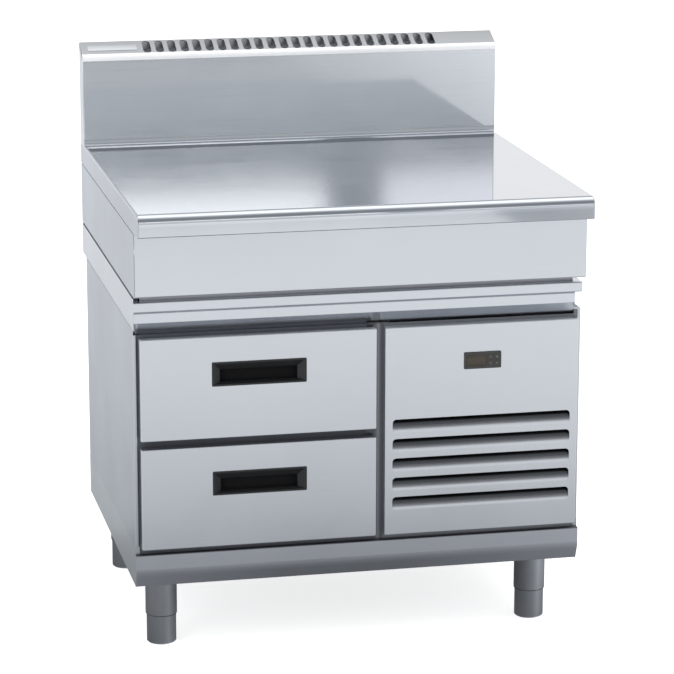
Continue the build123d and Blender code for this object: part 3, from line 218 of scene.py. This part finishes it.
gloss_card(
    "floor_card",
    half=(7.0, 4.7),
    centre=(0.0, -4.2, card_lift),
    lean=0.0,
    near=((0.0, 0.0, 0.0), (0.10, 0.30, 1.0)),
    reach=6.0,
    stops=(
        (0.0, 0.08), (0.15, 0.15), (0.5, 0.27), (0.9, 0.46),
        (1.6, 0.73), (2.4, 0.94), (4.0, 1.02), (5.6, 0.48),
    ),
)
gloss_card(
    "rear_floor_card",
    half=(7.0, 4.0),
    centre=(0.0, 4.5, card_lift),
    lean=0.0,
    near=((0.0, 0.0, 0.0), (0.10, 0.34, 1.0)),
    reach=6.0,
    stops=((0.0, 0.46), (0.5, 0.54), (1.0, 0.60), (2.0, 0.72), (4.5, 0.82)),
)
gloss_card(
    "glow_card",
    half=(3.0, 2.4),
    centre=(4.4, -6.5, patch_lift),
    lean=0.0,
    near=((4.4, -6.5, 0.0), (2.0, 1.4, 1.0)),
    reach=1.0,
    stops=((0.0, 0.90), (1.0, 0.55)),
)
gloss_card(
    "wall_card",
    half=(12.0, wall_height / 2),
    centre=(0.0, wall_y, wall_height / 2),
    lean=90.0,
    near=((0.0, wall_y, 6.75), (14.0, 1.0, 4.0)),
    reach=2.4,
    stops=((0.0, 0.34), (0.15, 0.42), (0.35, 0.56), (1.2, 0.64)),
)
gloss_card(
    "ceiling_card",
    half=(12.0, 10.5),
    centre=(0.0, 1.5, wall_height),
    lean=0.0,
    near=((0.0, -12.0, wall_height), (12.0, 6.0, 1.0)),
    reach=12.0,
    stops=(
        (0.0, 0.24), (2.2, 0.30), (3.8, 0.55), (4.9, 1.15),
        (6.5, 1.35), (8.2, 1.25), (9.8, 0.55), (12.0, 0.42),
    ),
)
for name, low_x, high_x, low_z, high_z, level, tint in (
    ("left_softbox", -0.1, 2.05, 2.88, 3.50, 1.78, warm),
    ("right_softbox", 2.36, 4.2, 2.80, 3.50, 1.26, rosy),
):
    half_x = (high_x - low_x) / 2
    half_z = (high_z - low_z) / 2
    centre = ((low_x + high_x) / 2, wall_y + box_step, (low_z + high_z) / 2)
    gloss_card(
        name,
        half=(half_x, half_z),
        centre=centre,
        lean=90.0,
        near=(centre, (half_x, 1.0, half_z)),
        reach=1.0,
        stops=((0.0, level), (1.0, level)),
        tint=tint,
    )

# Two soft lamps, which gloss doesn't see: a wide one overhead and a smaller one from
# the front left.
lamp_aim = Vector((0.0, 0.0, 0.6))
for name, place, size, power in (
    ("overhead_lamp", (0.3, -0.6, 4.2), 5.0, 110.0),
    ("front_lamp", (-3.6, -3.6, 3.0), 2.4, 45.0),
):
    lamp_data = bpy.data.lights.new(name, "AREA")
    lamp_data.shape = "SQUARE"
    lamp_data.size = size
    lamp_data.energy = power
    lamp = bpy.data.objects.new(name, lamp_data)
    lamp.location = place
    lamp.visible_glossy = False
    lamp.rotation_euler = (lamp_aim - Vector(place)).to_track_quat("-Z", "Y").to_euler()
    bpy.context.scene.collection.objects.link(lamp)

# Base: a ring of rails folded from brushed stainless sheet, with its grain along the
# front, round a zinc-plated floor on bearers. The front rail's top fold is darkened: painted shade.
along_x = (4.0, 900.0, 900.0)
along_y = (900.0, 4.0, 900.0)
along_z = (900.0, 900.0, 4.0)


def sheet_brushing():
    """Node group for brushed sheet: drawn lines, faint handling marks and cloudy wear."""
    group = bpy.data.node_groups.new("sheet_brushing", "ShaderNodeTree")
    for way, socket, kind in (
        ("INPUT", "Grain", "NodeSocketVector"),
        ("INPUT", "Place", "NodeSocketVector"),
        ("INPUT", "Steel", "NodeSocketColor"),
        ("INPUT", "Gloss", "NodeSocketFloat"),
        ("INPUT", "Streaks", "NodeSocketFloat"),
        ("INPUT", "Marks", "NodeSocketFloat"),
        ("OUTPUT", "Colour", "NodeSocketColor"),
        ("OUTPUT", "Roughness", "NodeSocketFloat"),
        ("OUTPUT", "Height", "NodeSocketFloat"),
    ):
        group.interface.new_socket(name=socket, in_out=way, socket_type=kind)
    entry = add_node(group, "NodeGroupInput")

    def swing(vector, scale, detail, roughness, low, amount):
        """Noise stretched to run from -1 to 1, times an amount; also the plain noise."""
        texture = {"Vector": vector, "Scale": scale, "Detail": detail, "Roughness": roughness}
        noise = add_node(group, "ShaderNodeTexNoise", texture)["Fac"]
        span = {"Value": noise, "From Min": low, "From Max": 1.0 - low, "To Min": -1.0, "To Max": 1.0}
        stretched = add_node(group, "ShaderNodeMapRange", span)["Result"]
        scaled = add_node(group, "ShaderNodeMath", {0: stretched, 1: amount}, operation="MULTIPLY")[0]
        return scaled, noise

    streak, lines = swing(entry["Grain"], 1.0, 4.0, 0.65, 0.25, entry["Streaks"])
    mark, _ = swing(entry["Place"], 5.0, 3.0, 0.55, 0.3, entry["Marks"])
    both = add_node(group, "ShaderNodeMath", {0: streak, 1: mark}, operation="ADD")[0]
    bright = add_node(group, "ShaderNodeMath", {0: both, 1: 1.0}, operation="ADD")[0]
    toned = {0: entry["Steel"], "Scale": bright}
    colour = add_node(group, "ShaderNodeVectorMath", toned, operation="SCALE")["Vector"]
    duller = {0: both, 1: 0.45, 2: entry["Gloss"]}
    rough = add_node(group, "ShaderNodeMath", duller, operation="MULTIPLY_ADD")[0]
    add_node(group, "NodeGroupOutput", {"Colour": colour, "Roughness": rough, "Height": lines})
    return group


brushing = sheet_brushing()


def brushed_steel(
    name, steel, gloss, grain=along_x, streaks=0.03, marks=0.03, relief=0.03, spread=0.7, metal=1.0
):
    """Brushed sheet whose drawn lines run along the axis with the small grain value.

    Its reflections stay sharp along the lines and spread across them.
    """
    material, tree, shader = new_material(name)
    place = add_node(tree, "ShaderNodeTexCoord")["Object"]
    drawn = add_node(tree, "ShaderNodeMapping", {"Vector": place, "Scale": grain})["Vector"]
    look = {
        "Grain": drawn,
        "Place": place,
        "Steel": (*steel, 1.0),
        "Gloss": gloss,
        "Streaks": streaks,
        "Marks": marks,
    }
    finish = add_node(tree, "ShaderNodeGroup", look, node_tree=brushing)
    scratches = {"Strength": relief, "Distance": 0.0002, "Height": finish["Height"]}
    line = {axis: 1.0 if value == min(grain) else 0.0 for axis, value in zip("XYZ", grain)}
    feed(
        tree,
        shader,
        {
            "Base Color": finish["Colour"],
            "Roughness": finish["Roughness"],
            "Normal": add_node(tree, "ShaderNodeBump", scratches)["Normal"],
            "Metallic": metal,
            "Anisotropic": spread,
            "Anisotropic Rotation": 0.25,
            "Tangent": add_node(tree, "ShaderNodeCombineXYZ", line)["Vector"],
        },
    )
    return material


def shaded_steel(name, steel, gloss, axis, reach, stops, limits=(), source="Object", **finish):
    """Brushed sheet with painted shade and highlight: its colour is darkened by depth, height, width or
    facing.

    Stops of (position, level) run along an axis of the place, or of the normal, between
    the two ends of 'reach'. Limits of (axis, middle, half width) keep them to one part.
    """
    material = brushed_steel(name, steel, gloss, **finish)
    tree = material.node_tree
    shader = tree.nodes["Principled BSDF"]
    place = add_node(tree, "ShaderNodeTexCoord")
    measured = add_node(tree, "ShaderNodeSeparateXYZ", {"Vector": place[source]})[axis]
    ends = {"Value": measured, "From Min": reach[0], "From Max": reach[1]}
    span = add_node(tree, "ShaderNodeMapRange", ends)["Result"]
    levels = toned_ramp(tree, span, [(position, (level,) * 3) for position, level in stops])
    mask = 1.0
    for letter, middle, half in limits:
        part = add_node(tree, "ShaderNodeSeparateXYZ", {"Vector": place["Object"]})[letter]
        within = {0: part, 1: middle, 2: half}
        inside = add_node(tree, "ShaderNodeMath", within, operation="COMPARE")[0]
        mask = add_node(tree, "ShaderNodeMath", {0: mask, 1: inside}, operation="MULTIPLY")[0]
    # Painted light and shade: the bare colour times the levels, within the limits.
    painted_light_mix = tree.nodes.new("ShaderNodeMix")
    painted_light_mix.data_type = "RGBA"
    painted_light_mix.blend_type = "MULTIPLY"
    bare = shader.inputs["Base Color"].links[0].from_socket
    feed(tree, painted_light_mix, {"Factor": mask, "A": bare, "B": levels})
    feed(tree, shader, {"Base Color": painted_light_mix.outputs["Result"]})
    return material


def dress(material, *names):
    """Gives CAD nodes their material."""
    for name in names:
        cad[name].data.materials.clear()
        cad[name].data.materials.append(material)


base_steel = brushed_steel("base_steel", (0.66, 0.68, 0.71), 0.34, streaks=0.06, marks=0.05, relief=0.10)
dress(base_steel, "base_frame")
# Painted shade: the top fold of the front rail is darkened.
rail_low, rail_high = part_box("base_front_rail")
rail_steel = shaded_steel(
    "rail_steel", (0.69, 0.70, 0.75), 0.34, "Z", (rail_low.z, rail_high.z),
    ((0.0, 1.0), (0.955, 1.0), (0.975, 0.32), (1.0, 0.28)),
)
dress(rail_steel, "base_front_rail")
zinc_sheet = brushed_steel("zinc_sheet", (0.60, 0.62, 0.64), 0.42, streaks=0.10, marks=0.16, relief=0.15)
dress(zinc_sheet, "base_floor", "base_bearers")

# Legs: stainless tubes under square plates, each plate held by four pan-head screws. A
# dark bush in the lower edge of each tube guides the threaded foot; its dark ring also draws the line at
# the step, painted shade.
sleeves_low, sleeves_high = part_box("leg_sleeves")
plate_half = 0.035
plate_thick = 0.002
plate_screw = 0.029
step_ring_round = 0.0308
step_ring_bead = 0.0009
leg_places = [
    (leg_x, leg_y)
    for leg_x in (sleeves_low.x + plate_half, sleeves_high.x - plate_half)
    for leg_y in (sleeves_low.y + plate_half, sleeves_high.y - plate_half)
]
screw_rings = (
    (0.0040, 0.0), (0.0040, 0.0007), (0.0036, 0.0016), (0.0028, 0.0022),
    (0.0015, 0.0024), (0.0014, 0.0010), (0.0006, 0.0008),
)


def moulded_plastic(name, tone, gloss, grain_size, relief, specular=0.5):
    """Moulded plastic or foam with a grained skin and a slight change of shine."""
    material, tree, shader = new_material(name)
    place = add_node(tree, "ShaderNodeTexCoord")["Object"]
    texture = {"Vector": place, "Scale": grain_size, "Detail": 3.0}
    skin = add_node(tree, "ShaderNodeTexNoise", texture)["Fac"]
    shine = {"Value": skin, "To Min": gloss - 0.06, "To Max": gloss + 0.10}
    colour = tree.nodes.new("ShaderNodeMix")
    colour.data_type = "RGBA"
    darker = (*[0.88 * value for value in tone], 1.0)
    lighter = (*[1.12 * value for value in tone], 1.0)
    feed(tree, colour, {"Factor": skin, "A": darker, "B": lighter})
    pores = {"Strength": relief, "Distance": 0.0003, "Height": skin}
    feed(
        tree,
        shader,
        {
            "Base Color": colour.outputs["Result"],
            "Roughness": add_node(tree, "ShaderNodeMapRange", shine)["Result"],
            "Normal": add_node(tree, "ShaderNodeBump", pores)["Normal"],
            "Specular IOR Level": specular,
        },
    )
    return material


def fitted(maker, name, material, body):
    """Links a finished piece, smooths it by angle and fixes it to its body."""
    bmesh.ops.recalc_face_normals(maker, faces=maker.faces)
    piece = place_mesh(maker, name)
    for face in piece.data.polygons:
        face.use_smooth = True
    piece.data.set_sharp_from_angle(angle=math.radians(35))
    piece.data.materials.append(material)
    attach(piece, body)
    return piece


def chain(maker, points):
    """Adds points joined in a line and gives its edges."""
    corners = [maker.verts.new(point) for point in points]
    return [maker.edges.new(pair) for pair in zip(corners, corners[1:])]


def turned(maker, rings, place, lean, segments=16):
    """Adds a turned head: rings of (radius, height) along its axis, closed at both ends."""
    turn = Euler(lean).to_matrix()
    centre = Vector(place)
    outline = chain(maker, [centre + turn @ Vector((radius, 0.0, height)) for radius, height in rings])
    bmesh.ops.spin(
        maker,
        geom=outline,
        cent=centre,
        axis=turn @ Vector((0.0, 0.0, 1.0)),
        angle=2 * math.pi,
        steps=segments,
        use_merge=True,
    )
    ends = [edge for edge in maker.edges if edge.is_boundary]
    bmesh.ops.holes_fill(maker, edges=ends, sides=segments)


# Painted highlight and shade: the tubes are brightest where they face a little to the right and darkest
# where they face left.
leg_steel = shaded_steel(
    "leg_steel", (0.90, 0.935, 1.0), 0.34, "X", (-1.0, 1.0),
    ((0.0, 0.36), (0.25, 0.43), (0.5, 0.58), (0.68, 0.87), (0.83, 0.69), (1.0, 0.50)),
    source="Normal", grain=along_z, metal=0.85,
)
dress(leg_steel, "leg_sleeves")
dress(leg_steel, "foot_front_left", "foot_front_right", "foot_rear_left", "foot_rear_right")
gasket_grey = moulded_plastic("gasket_grey", (0.05, 0.05, 0.055), 0.6, 900.0, 0.15)
upright = Matrix.Rotation(math.radians(90), 4, "X") @ Matrix.Rotation(math.radians(90), 4, "Z")
# Dark bush rings at the tubes' lower edges, partly painted shade: they give the dark line at the step.
step_rings = bmesh.new()
for leg_x, leg_y in leg_places:
    centre = Vector((leg_x, leg_y, sleeves_low.z - step_ring_bead))
    start = Matrix.Translation(centre + Vector((step_ring_round, 0.0, 0.0))) @ upright
    section = bmesh.ops.create_circle(step_rings, radius=step_ring_bead, segments=10, matrix=start)
    edges = list({edge for corner in section["verts"] for edge in corner.link_edges})
    bmesh.ops.spin(
        step_rings,
        geom=edges,
        cent=centre,
        axis=(0.0, 0.0, 1.0),
        angle=2 * math.pi,
        steps=48,
        use_merge=True,
    )
fitted(step_rings, "leg_step_rings", gasket_grey, "cabinet")
screw_metal = brushed_steel("screw_metal", (0.62, 0.63, 0.65), 0.28, streaks=0.02, marks=0.05, relief=0.02)
leg_screws = bmesh.new()
for leg_x, leg_y in leg_places:
    for across in (leg_x - plate_screw, leg_x + plate_screw):
        for along in (leg_y - plate_screw, leg_y + plate_screw):
            place = (across, along, sleeves_high.z - plate_thick)
            turned(leg_screws, screw_rings, place, (math.radians(180), 0.0, 0.0))
fitted(leg_screws, "leg_screws", screw_metal, "cabinet")

# Cabinet: brushed sides with upright grain, zinc-plated sheets, a stainless post and
# ring round the machine bay, a moulded surround of the drawer openings, foam slabs and
# a stainless liner. The back sheet is held by pan-head screws.
side_steel = brushed_steel(
    "side_steel", (0.66, 0.68, 0.72), 0.34, grain=along_z, streaks=0.06, marks=0.05, relief=0.10
)
dress(side_steel, "cabinet_sides")
dress(zinc_sheet, "cabinet_top", "cabinet_floor", "cabinet_back", "partition")
# Painted shade: the post and ring are darkened all over, most beside the gaps, with a lighter stripe on
# the post.
post_reach = (0.0285, 0.0625)
post_steel = shaded_steel(
    "post_steel", (0.60, 0.62, 0.66), 0.34, "X", post_reach,
    (
        (0.0, 0.22), (0.12, 0.30), (0.25, 0.50), (0.37, 0.30),
        (0.5, 0.24), (0.56, 0.42), (1.0, 0.42),
    ),
)
dress(post_steel, "bay_frame")
breaker_slate = moulded_plastic("breaker_slate", (0.075, 0.083, 0.10), 0.5, 700.0, 0.10)
dress(breaker_slate, "breaker_frame")
foam_slate = moulded_plastic("foam_slate", (0.30, 0.31, 0.33), 0.8, 260.0, 0.5)
dress(foam_slate, "insulation")
liner_steel = brushed_steel(
    "liner_steel", (0.62, 0.64, 0.66), 0.30, grain=along_y, streaks=0.06, marks=0.06, relief=0.08
)
dress(liner_steel, "liner")
box_grey = moulded_plastic("box_grey", (0.52, 0.53, 0.55), 0.45, 900.0, 0.08)
dress(box_grey, "drain")
handle_black = moulded_plastic("handle_black", (0.014, 0.015, 0.016), 0.36, 1500.0, 0.10)
dress(handle_black, "cable_gland")
back_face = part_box("cabinet_back")[1].y
edge_x = 0.420
edge_rows = (0.214, 0.664)
side_rows = (0.364, 0.514)
edge_places = [(edge_x * step / 2, up) for step in range(-2, 3) for up in edge_rows]
side_places = [(across, up) for across in (-edge_x, edge_x) for up in side_rows]
rear_screws = bmesh.new()
for across, up in edge_places + side_places:
    turned(rear_screws, screw_rings, (across, back_face, up), (math.radians(-90), 0.0, 0.0))
fitted(rear_screws, "rear_screws", screw_metal, "cabinet")

# Drawers: stainless fronts over foam cores, with recessed moulded handles that have a
# darker, less shiny sheet on the floor of the cup, painted shade, and stainless tubs on telescopic
# runners. The rubber gasket has a round bellows bead.
cup_shade_inset = (0.0175, 0.0174)
cup_shade_rise = (0.0064, 0.0084)
cup_shade_depth = (0.0047, 0.0040)
bead_round = 0.0018
bead_bend = 0.006
bead_inset = 0.001
bead_depth = 0.0022


def bar(maker, low, high, soften):
    """Adds a bar between two corners, its edges rounded by 'soften'."""
    corners = bmesh.ops.create_cube(maker, size=1.0)["verts"]
    size = [b - a for a, b in zip(low, high)]
    bmesh.ops.scale(maker, vec=size, verts=corners)
    middle = [(a + b) / 2 for a, b in zip(low, high)]
    bmesh.ops.translate(maker, vec=middle, verts=corners)
    edges = list({edge for corner in corners for edge in corner.link_edges})
    bmesh.ops.bevel(
        maker, geom=edges, offset=soften, segments=3, affect="EDGES", profile=0.5, material=-1
    )


def only(kind, parts):
    """The vertices or edges among the parts that an operator gives."""
    return [part for part in parts if isinstance(part, kind)]


front_steel = brushed_steel("front_steel", (0.82, 0.84, 0.88), 0.24, marks=0.04, relief=0.04)
dress(front_steel, "upper_drawer_front", "lower_drawer_front")
dress(handle_black, "upper_drawer_handle", "lower_drawer_handle")
dress(gasket_grey, "upper_drawer_gasket", "lower_drawer_gasket")
foam_buff = moulded_plastic("foam_buff", (0.60, 0.53, 0.38), 0.8, 260.0, 0.5)
dress(foam_buff, "upper_drawer_core", "lower_drawer_core")
dress(liner_steel, "upper_drawer_tub", "lower_drawer_tub", "outer_runners")
dress(liner_steel, "upper_middle_runners", "upper_inner_runners")
dress(liner_steel, "lower_middle_runners", "lower_inner_runners")
# Painted shade: a dark sheet with little shine on the floor of each handle's cup.
cup_shade = moulded_plastic("cup_shade", (0.011, 0.011, 0.012), 0.85, 1800.0, 0.2, specular=0.1)
for level in ("upper", "lower"):
    low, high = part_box(f"{level}_drawer_handle")
    cup_shade_low = (low.x + cup_shade_inset[0], high.y - cup_shade_depth[0], low.z + cup_shade_rise[0])
    cup_shade_high = (high.x - cup_shade_inset[1], high.y - cup_shade_depth[1], high.z - cup_shade_rise[1])
    cup_shade_sheet = bmesh.new()
    bar(cup_shade_sheet, cup_shade_low, cup_shade_high, soften=0.0003)
    fitted(cup_shade_sheet, f"{level}_cup_shade", cup_shade, f"{level}_drawer")

    low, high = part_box(f"{level}_drawer_gasket")
    turn_in = bead_inset + bead_bend
    left, right = low.x + turn_in, high.x - turn_in
    foot, top = low.z + turn_in, high.z - turn_in
    bead_y = high.y - bead_depth
    bead = bmesh.new()
    start = Matrix.Translation((right + bead_bend, bead_y, top))
    bmesh.ops.create_circle(bead, radius=bead_round, segments=10, matrix=start)
    rim = bead.edges[:]
    for centre_x, centre_z, run in (
        (right, top, (left - right, 0.0, 0.0)),
        (left, top, (0.0, 0.0, foot - top)),
        (left, foot, (right - left, 0.0, 0.0)),
        (right, foot, (0.0, 0.0, top - foot)),
    ):
        bent = bmesh.ops.spin(
            bead,
            geom=rim,
            cent=(centre_x, bead_y, centre_z),
            axis=(0.0, -1.0, 0.0),
            angle=math.radians(90),
            steps=6,
        )
        rim = only(bmesh.types.BMEdge, bent["geom_last"])
        pulled = bmesh.ops.extrude_edge_only(bead, edges=rim)["geom"]
        moved = only(bmesh.types.BMVert, pulled)
        bmesh.ops.translate(bead, vec=run, verts=moved)
        rim = [edge for edge in only(bmesh.types.BMEdge, pulled) if set(edge.verts) <= set(moved)]
    bmesh.ops.remove_doubles(bead, verts=bead.verts, dist=0.00001)
    fitted(bead, f"{level}_gasket_bead", gasket_grey, f"{level}_drawer")

# Machine panel: a stainless tray with five pressed louvres, with painted shade inside the gills that
# darkens with depth, and the moulded controller in its cut-out, with a smoked lens in the display window
# and a small printed sign on each key.
gill_depth = 0.018
gill_half_width = 0.190
gill_half_height = 0.25
lens_low = (0.2101, -0.3448, 0.5742)
lens_high = (0.2493, -0.3440, 0.5954)
sign_rings = ((0.0017, 0.0), (0.0017, 0.0001), (0.0015, 0.0002))
sign_sink = 0.00005
panel_low, panel_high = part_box("louvre_panel")
panel_middle = (panel_low.x + panel_high.x) / 2
# Painted shade: the louvres darken with depth inside the gills.
louvre_steel = shaded_steel(
    "louvre_steel", (0.82, 0.84, 0.88), 0.24, "Y", (panel_low.y, panel_low.y + gill_depth),
    (
        (0.0, 1.0), (0.02, 0.95), (0.06, 0.44), (0.15, 0.32),
        (0.30, 0.25), (0.60, 0.24), (1.0, 0.24),
    ),
    limits=(("X", panel_middle, gill_half_width), ("Z", gill_half_height, gill_half_height)),
)
dress(louvre_steel, "louvre_panel")
controller_black = moulded_plastic("controller_black", (0.040, 0.039, 0.038), 0.30, 900.0, 0.03)
dress(controller_black, "controller")
key_grey = moulded_plastic("key_grey", (0.052, 0.050, 0.048), 0.50, 1200.0, 0.08)
dress(key_grey, "key_upper_left", "key_upper_right", "key_lower_left", "key_lower_right")
lens_smoke = moulded_plastic("lens_smoke", (0.050, 0.040, 0.028), 0.16, 300.0, 0.01)
lens = bmesh.new()
bar(lens, lens_low, lens_high, soften=0.0003)
fitted(lens, "display_lens", lens_smoke, "machine_panel")
sign_white = moulded_plastic("sign_white", (0.16, 0.16, 0.16), 0.5, 900.0, 0.02)
for key, sides, roll in (
    ("key_upper_left", 3, -90),
    ("key_lower_left", 3, 90),
    ("key_upper_right", 24, 0),
    ("key_lower_right", 4, 45),
):
    low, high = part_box(key)
    place = ((low.x + high.x) / 2, low.y + sign_sink, (low.z + high.z) / 2)
    sign = bmesh.new()
    turned(sign, sign_rings, place, (math.radians(90), math.radians(roll), 0.0), sides)
    fitted(sign, f"sign_{key}", sign_white, key)

# Machine bay and cold cavity: aluminium coils with copper pipes, a black compressor, a
# zinc-plated fan shroud, fans, and the grey control box. The condenser's front has thin
# upright fins.
fin_metal = brushed_steel(
    "fin_metal", (0.70, 0.71, 0.73), 0.35, grain=along_z, streaks=0.30, marks=0.08, relief=0.6
)
dress(fin_metal, "condenser_coil", "evaporator_coil")
copper = brushed_steel(
    "copper", (0.72, 0.40, 0.26), 0.30, grain=along_z, streaks=0.05, marks=0.12, relief=0.08
)
dress(copper, "refrigerant_pipes")
enamel_black = moulded_plastic("enamel_black", (0.015, 0.015, 0.017), 0.30, 220.0, 0.10)
dress(enamel_black, "compressor")
dress(zinc_sheet, "fan_shroud")
dress(liner_steel, "condenser_fan", "evaporator_cover")
dress(handle_black, "evaporator_fan")
dress(box_grey, "control_box")
fin_pitch = 0.004
fin_count = 74
fin_half = 0.0002
fin_reach = 0.0022
fin_end = 0.001
low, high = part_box("condenser_coil")
fins = bmesh.new()
for index in range(fin_count):
    fin_x = (low.x + high.x) / 2 + (index - (fin_count - 1) / 2) * fin_pitch
    fin_low = (fin_x - fin_half, low.y - fin_reach, low.z + fin_end)
    fin_high = (fin_x + fin_half, low.y, high.z - fin_end)
    bar(fins, fin_low, fin_high, soften=0.00008)
fitted(fins, "condenser_fins", fin_metal, "cabinet")

# Upper box: apron, joining frame and top rail, folded from brushed sheet. The frame has
# painted shade in its recess. A foam strip fills the slot under the apron's left side.
recess_depth = 0.020
recess_half_width = 0.4345
seal_low = (-0.4472, -0.2990, 0.7300)
seal_high = (-0.4343, 0.4000, 0.7436)
apron_steel = brushed_steel("apron_steel", (0.82, 0.84, 0.885), 0.22, relief=0.04)
dress(apron_steel, "apron_front", "top_rail")
frame_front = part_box("joining_frame")[0].y
# Painted shade: the frame darkens with depth in its recess.
frame_steel = shaded_steel(
    "frame_steel", (0.82, 0.84, 0.885), 0.22, "Y", (frame_front, frame_front + recess_depth),
    ((0.0, 1.0), (0.5, 1.0), (0.75, 0.42), (1.0, 0.36)),
    limits=(("X", 0.0, recess_half_width),),
)
dress(frame_steel, "joining_frame")
dress(side_steel, "apron_sides")
seal = bmesh.new()
bar(seal, seal_low, seal_high, soften=0.0015)
fitted(seal, "side_seal", foam_slate, "cabinet")

# Worktop: one pressed sheet of brushed stainless steel over zinc-plated channels. Its
# skin has the photograph's rounder nose with a rolled lower edge, rolled side edges, and
# the small cove at the foot of the upstand. It stands for the CAD worktop.
worktop_low, worktop_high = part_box("worktop")
upstand_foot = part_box("splashback")[0]
half_width = worktop_high.x
front, rear = worktop_low.y, worktop_high.y
sheet_top = upstand_foot.z
nose_round = 0.017
side_round = 0.004
hem_round = 0.002
hem_rise = 0.0016
cove_round = 0.003
sheet_thick = 0.0015
shaded_height = 0.060
skin_foot = worktop_low.z + hem_rise


def arc(centre, radius, first, last, steps):
    """Points of an arc across the front, each with the direction that it faces."""
    made = []
    for step in range(steps + 1):
        angle = math.radians(first + (last - first) * step / steps)
        facing = (math.cos(angle), math.sin(angle))
        made.append(((centre[0] + radius * facing[0], centre[1] + radius * facing[1]), facing))
    return made


# Painted light and shade by height: the lip is darkened, most at its rolled lower edge, the nose keeps a
# painted highlight, and the top and the upstand are darkened.
shaded_reach = (worktop_low.z, worktop_low.z + shaded_height)
worktop_steel = shaded_steel(
    "worktop_steel", (0.83, 0.86, 0.905), 0.045, "Z", shaded_reach,
    (
        (0.0, 0.45), (0.07, 0.80), (0.35, 0.80), (0.50, 1.0), (0.735, 1.0), (0.748, 0.81),
        (0.756, 0.81), (0.765, 0.92), (0.80, 0.92), (0.82, 0.68), (1.0, 0.68),
    ),
    spread=0.3,
)
dress(worktop_steel, "worktop")
dress(zinc_sheet, "worktop_stiffeners")

hem = arc((front + hem_round, skin_foot + hem_round), hem_round, 270, 180, 4)
profile = [(point, (-1.0, 0.0)) for point, _ in hem]
profile += arc((front + nose_round, sheet_top - nose_round), nose_round, 180, 90, 12)
profile += [((along, sheet_top), (0.0, 1.0)) for along in (upstand_foot.y - cove_round, rear)]
roll = []
for step in range(6):
    angle = math.radians(18 * step)
    across = half_width - side_round + side_round * math.sin(angle)
    roll.append((across, side_round * (1 - math.cos(angle))))
columns = [(-across, drop) for across, drop in reversed(roll)] + roll
skin = bmesh.new()
rows = []
for (along, height), (lean_y, lean_z) in profile:
    rows.append(
        [
            skin.verts.new((across, along - lean_y * drop, height - lean_z * drop))
            for across, drop in columns
        ]
    )
for near_row, far_row in zip(rows, rows[1:]):
    for column in range(len(columns) - 1):
        under_upstand = far_row is rows[-1] and column == len(roll) - 1
        if not under_upstand:
            near_edge = near_row[column : column + 2]
            far_edge = far_row[column : column + 2]
            skin.faces.new((*near_edge, *reversed(far_edge)))
for column in (0, len(columns) - 1):
    rim = [row[column] for row in rows]
    corner = skin.verts.new((rim[-1].co.x, rear, skin_foot))
    skin.faces.new((corner, *rim))
cove = arc((upstand_foot.y - cove_round, sheet_top + cove_round), cove_round, -90, 0, 4)
cove_line = [point for point, _ in cove] + [(upstand_foot.y, worktop_high.z)]
cove_end = half_width - sheet_thick
cove_edges = chain(skin, [(-cove_end, along, height) for along, height in cove_line])
pulled = bmesh.ops.extrude_edge_only(skin, edges=cove_edges)["geom"]
bmesh.ops.translate(skin, vec=(2 * cove_end, 0.0, 0.0), verts=only(bmesh.types.BMVert, pulled))
worktop_skin = fitted(skin, "worktop_skin", worktop_steel, "cabinet")
thicken = worktop_skin.modifiers.new("sheet", "SOLIDIFY")
thicken.thickness = sheet_thick
thicken.offset = -1.0
level_out = worktop_skin.modifiers.new("flats", "WEIGHTED_NORMAL")
level_out.keep_sharp = True
level_out.weight = 100
# Painted shade: the rolled sides take the darker side steel.
worktop_skin.data.materials.append(side_steel)
for face in worktop_skin.data.polygons:
    if abs(face.center.x) > half_width - side_round:
        face.material_index = 1
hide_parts("worktop")

# Splashback, flue back and vent deck: thinner brushed sheet, with a ground bead along
# the splashback's foot. The deck's front lip has a painted highlight, pale and less metallic, the deck
# behind it is darkened, and a bare plate is fixed at its left end.
seam_low = (-0.4474, 0.3500, 0.9265)
seam_high = (0.4474, 0.3508, 0.9285)
plate_centre = Vector((-0.383, 0.3750, 1.1188))
plate_size = Vector((0.104, 0.020, 0.0008))
deck_rise = 0.0198
deck_run = 0.0446
splash_steel = brushed_steel(
    "splash_steel", (0.77, 0.795, 0.835), 0.065, streaks=0.04, relief=0.02, spread=0.3, metal=0.84
)
dress(splash_steel, "splashback", "flue_back")
seam = bmesh.new()
bar(seam, seam_low, seam_high, soften=0.0003)
fitted(seam, "splash_seam", splash_steel, "cabinet")
deck_low, deck_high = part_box("vent_deck")
deck_steel = shaded_steel(
    "deck_steel", (0.97, 0.98, 1.0), 0.34, "Y", (deck_low.y, deck_high.y),
    ((0.0, 1.0), (0.10, 1.0), (0.14, 0.70), (1.0, 0.62)),
)
# Painted highlight: where the tone is full, on the front lip, the pale steel turns less metallic and shows
# as a bright band; the deck behind is darkened.
tree = deck_steel.node_tree
deck_level = tree.nodes["Color Ramp"].outputs["Color"]
lip_highlight = {"Value": deck_level, "From Min": 0.70, "To Min": 1.0, "To Max": 0.25}
lip_metal = add_node(tree, "ShaderNodeMapRange", lip_highlight)["Result"]
feed(tree, tree.nodes["Principled BSDF"], {"Metallic": lip_metal})
dress(deck_steel, "vent_deck")
plate_metal = brushed_steel("plate_metal", (0.88, 0.89, 0.92), 0.40)
plate = bmesh.new()
bar(plate, plate_centre - plate_size / 2, plate_centre + plate_size / 2, soften=0.00035)
turn = Matrix.Rotation(math.atan2(deck_rise, deck_run), 3, "X")
bmesh.ops.rotate(plate, cent=plate_centre, matrix=turn, verts=plate.verts)
fitted(plate, "bare_plate", plate_metal, "cabinet")
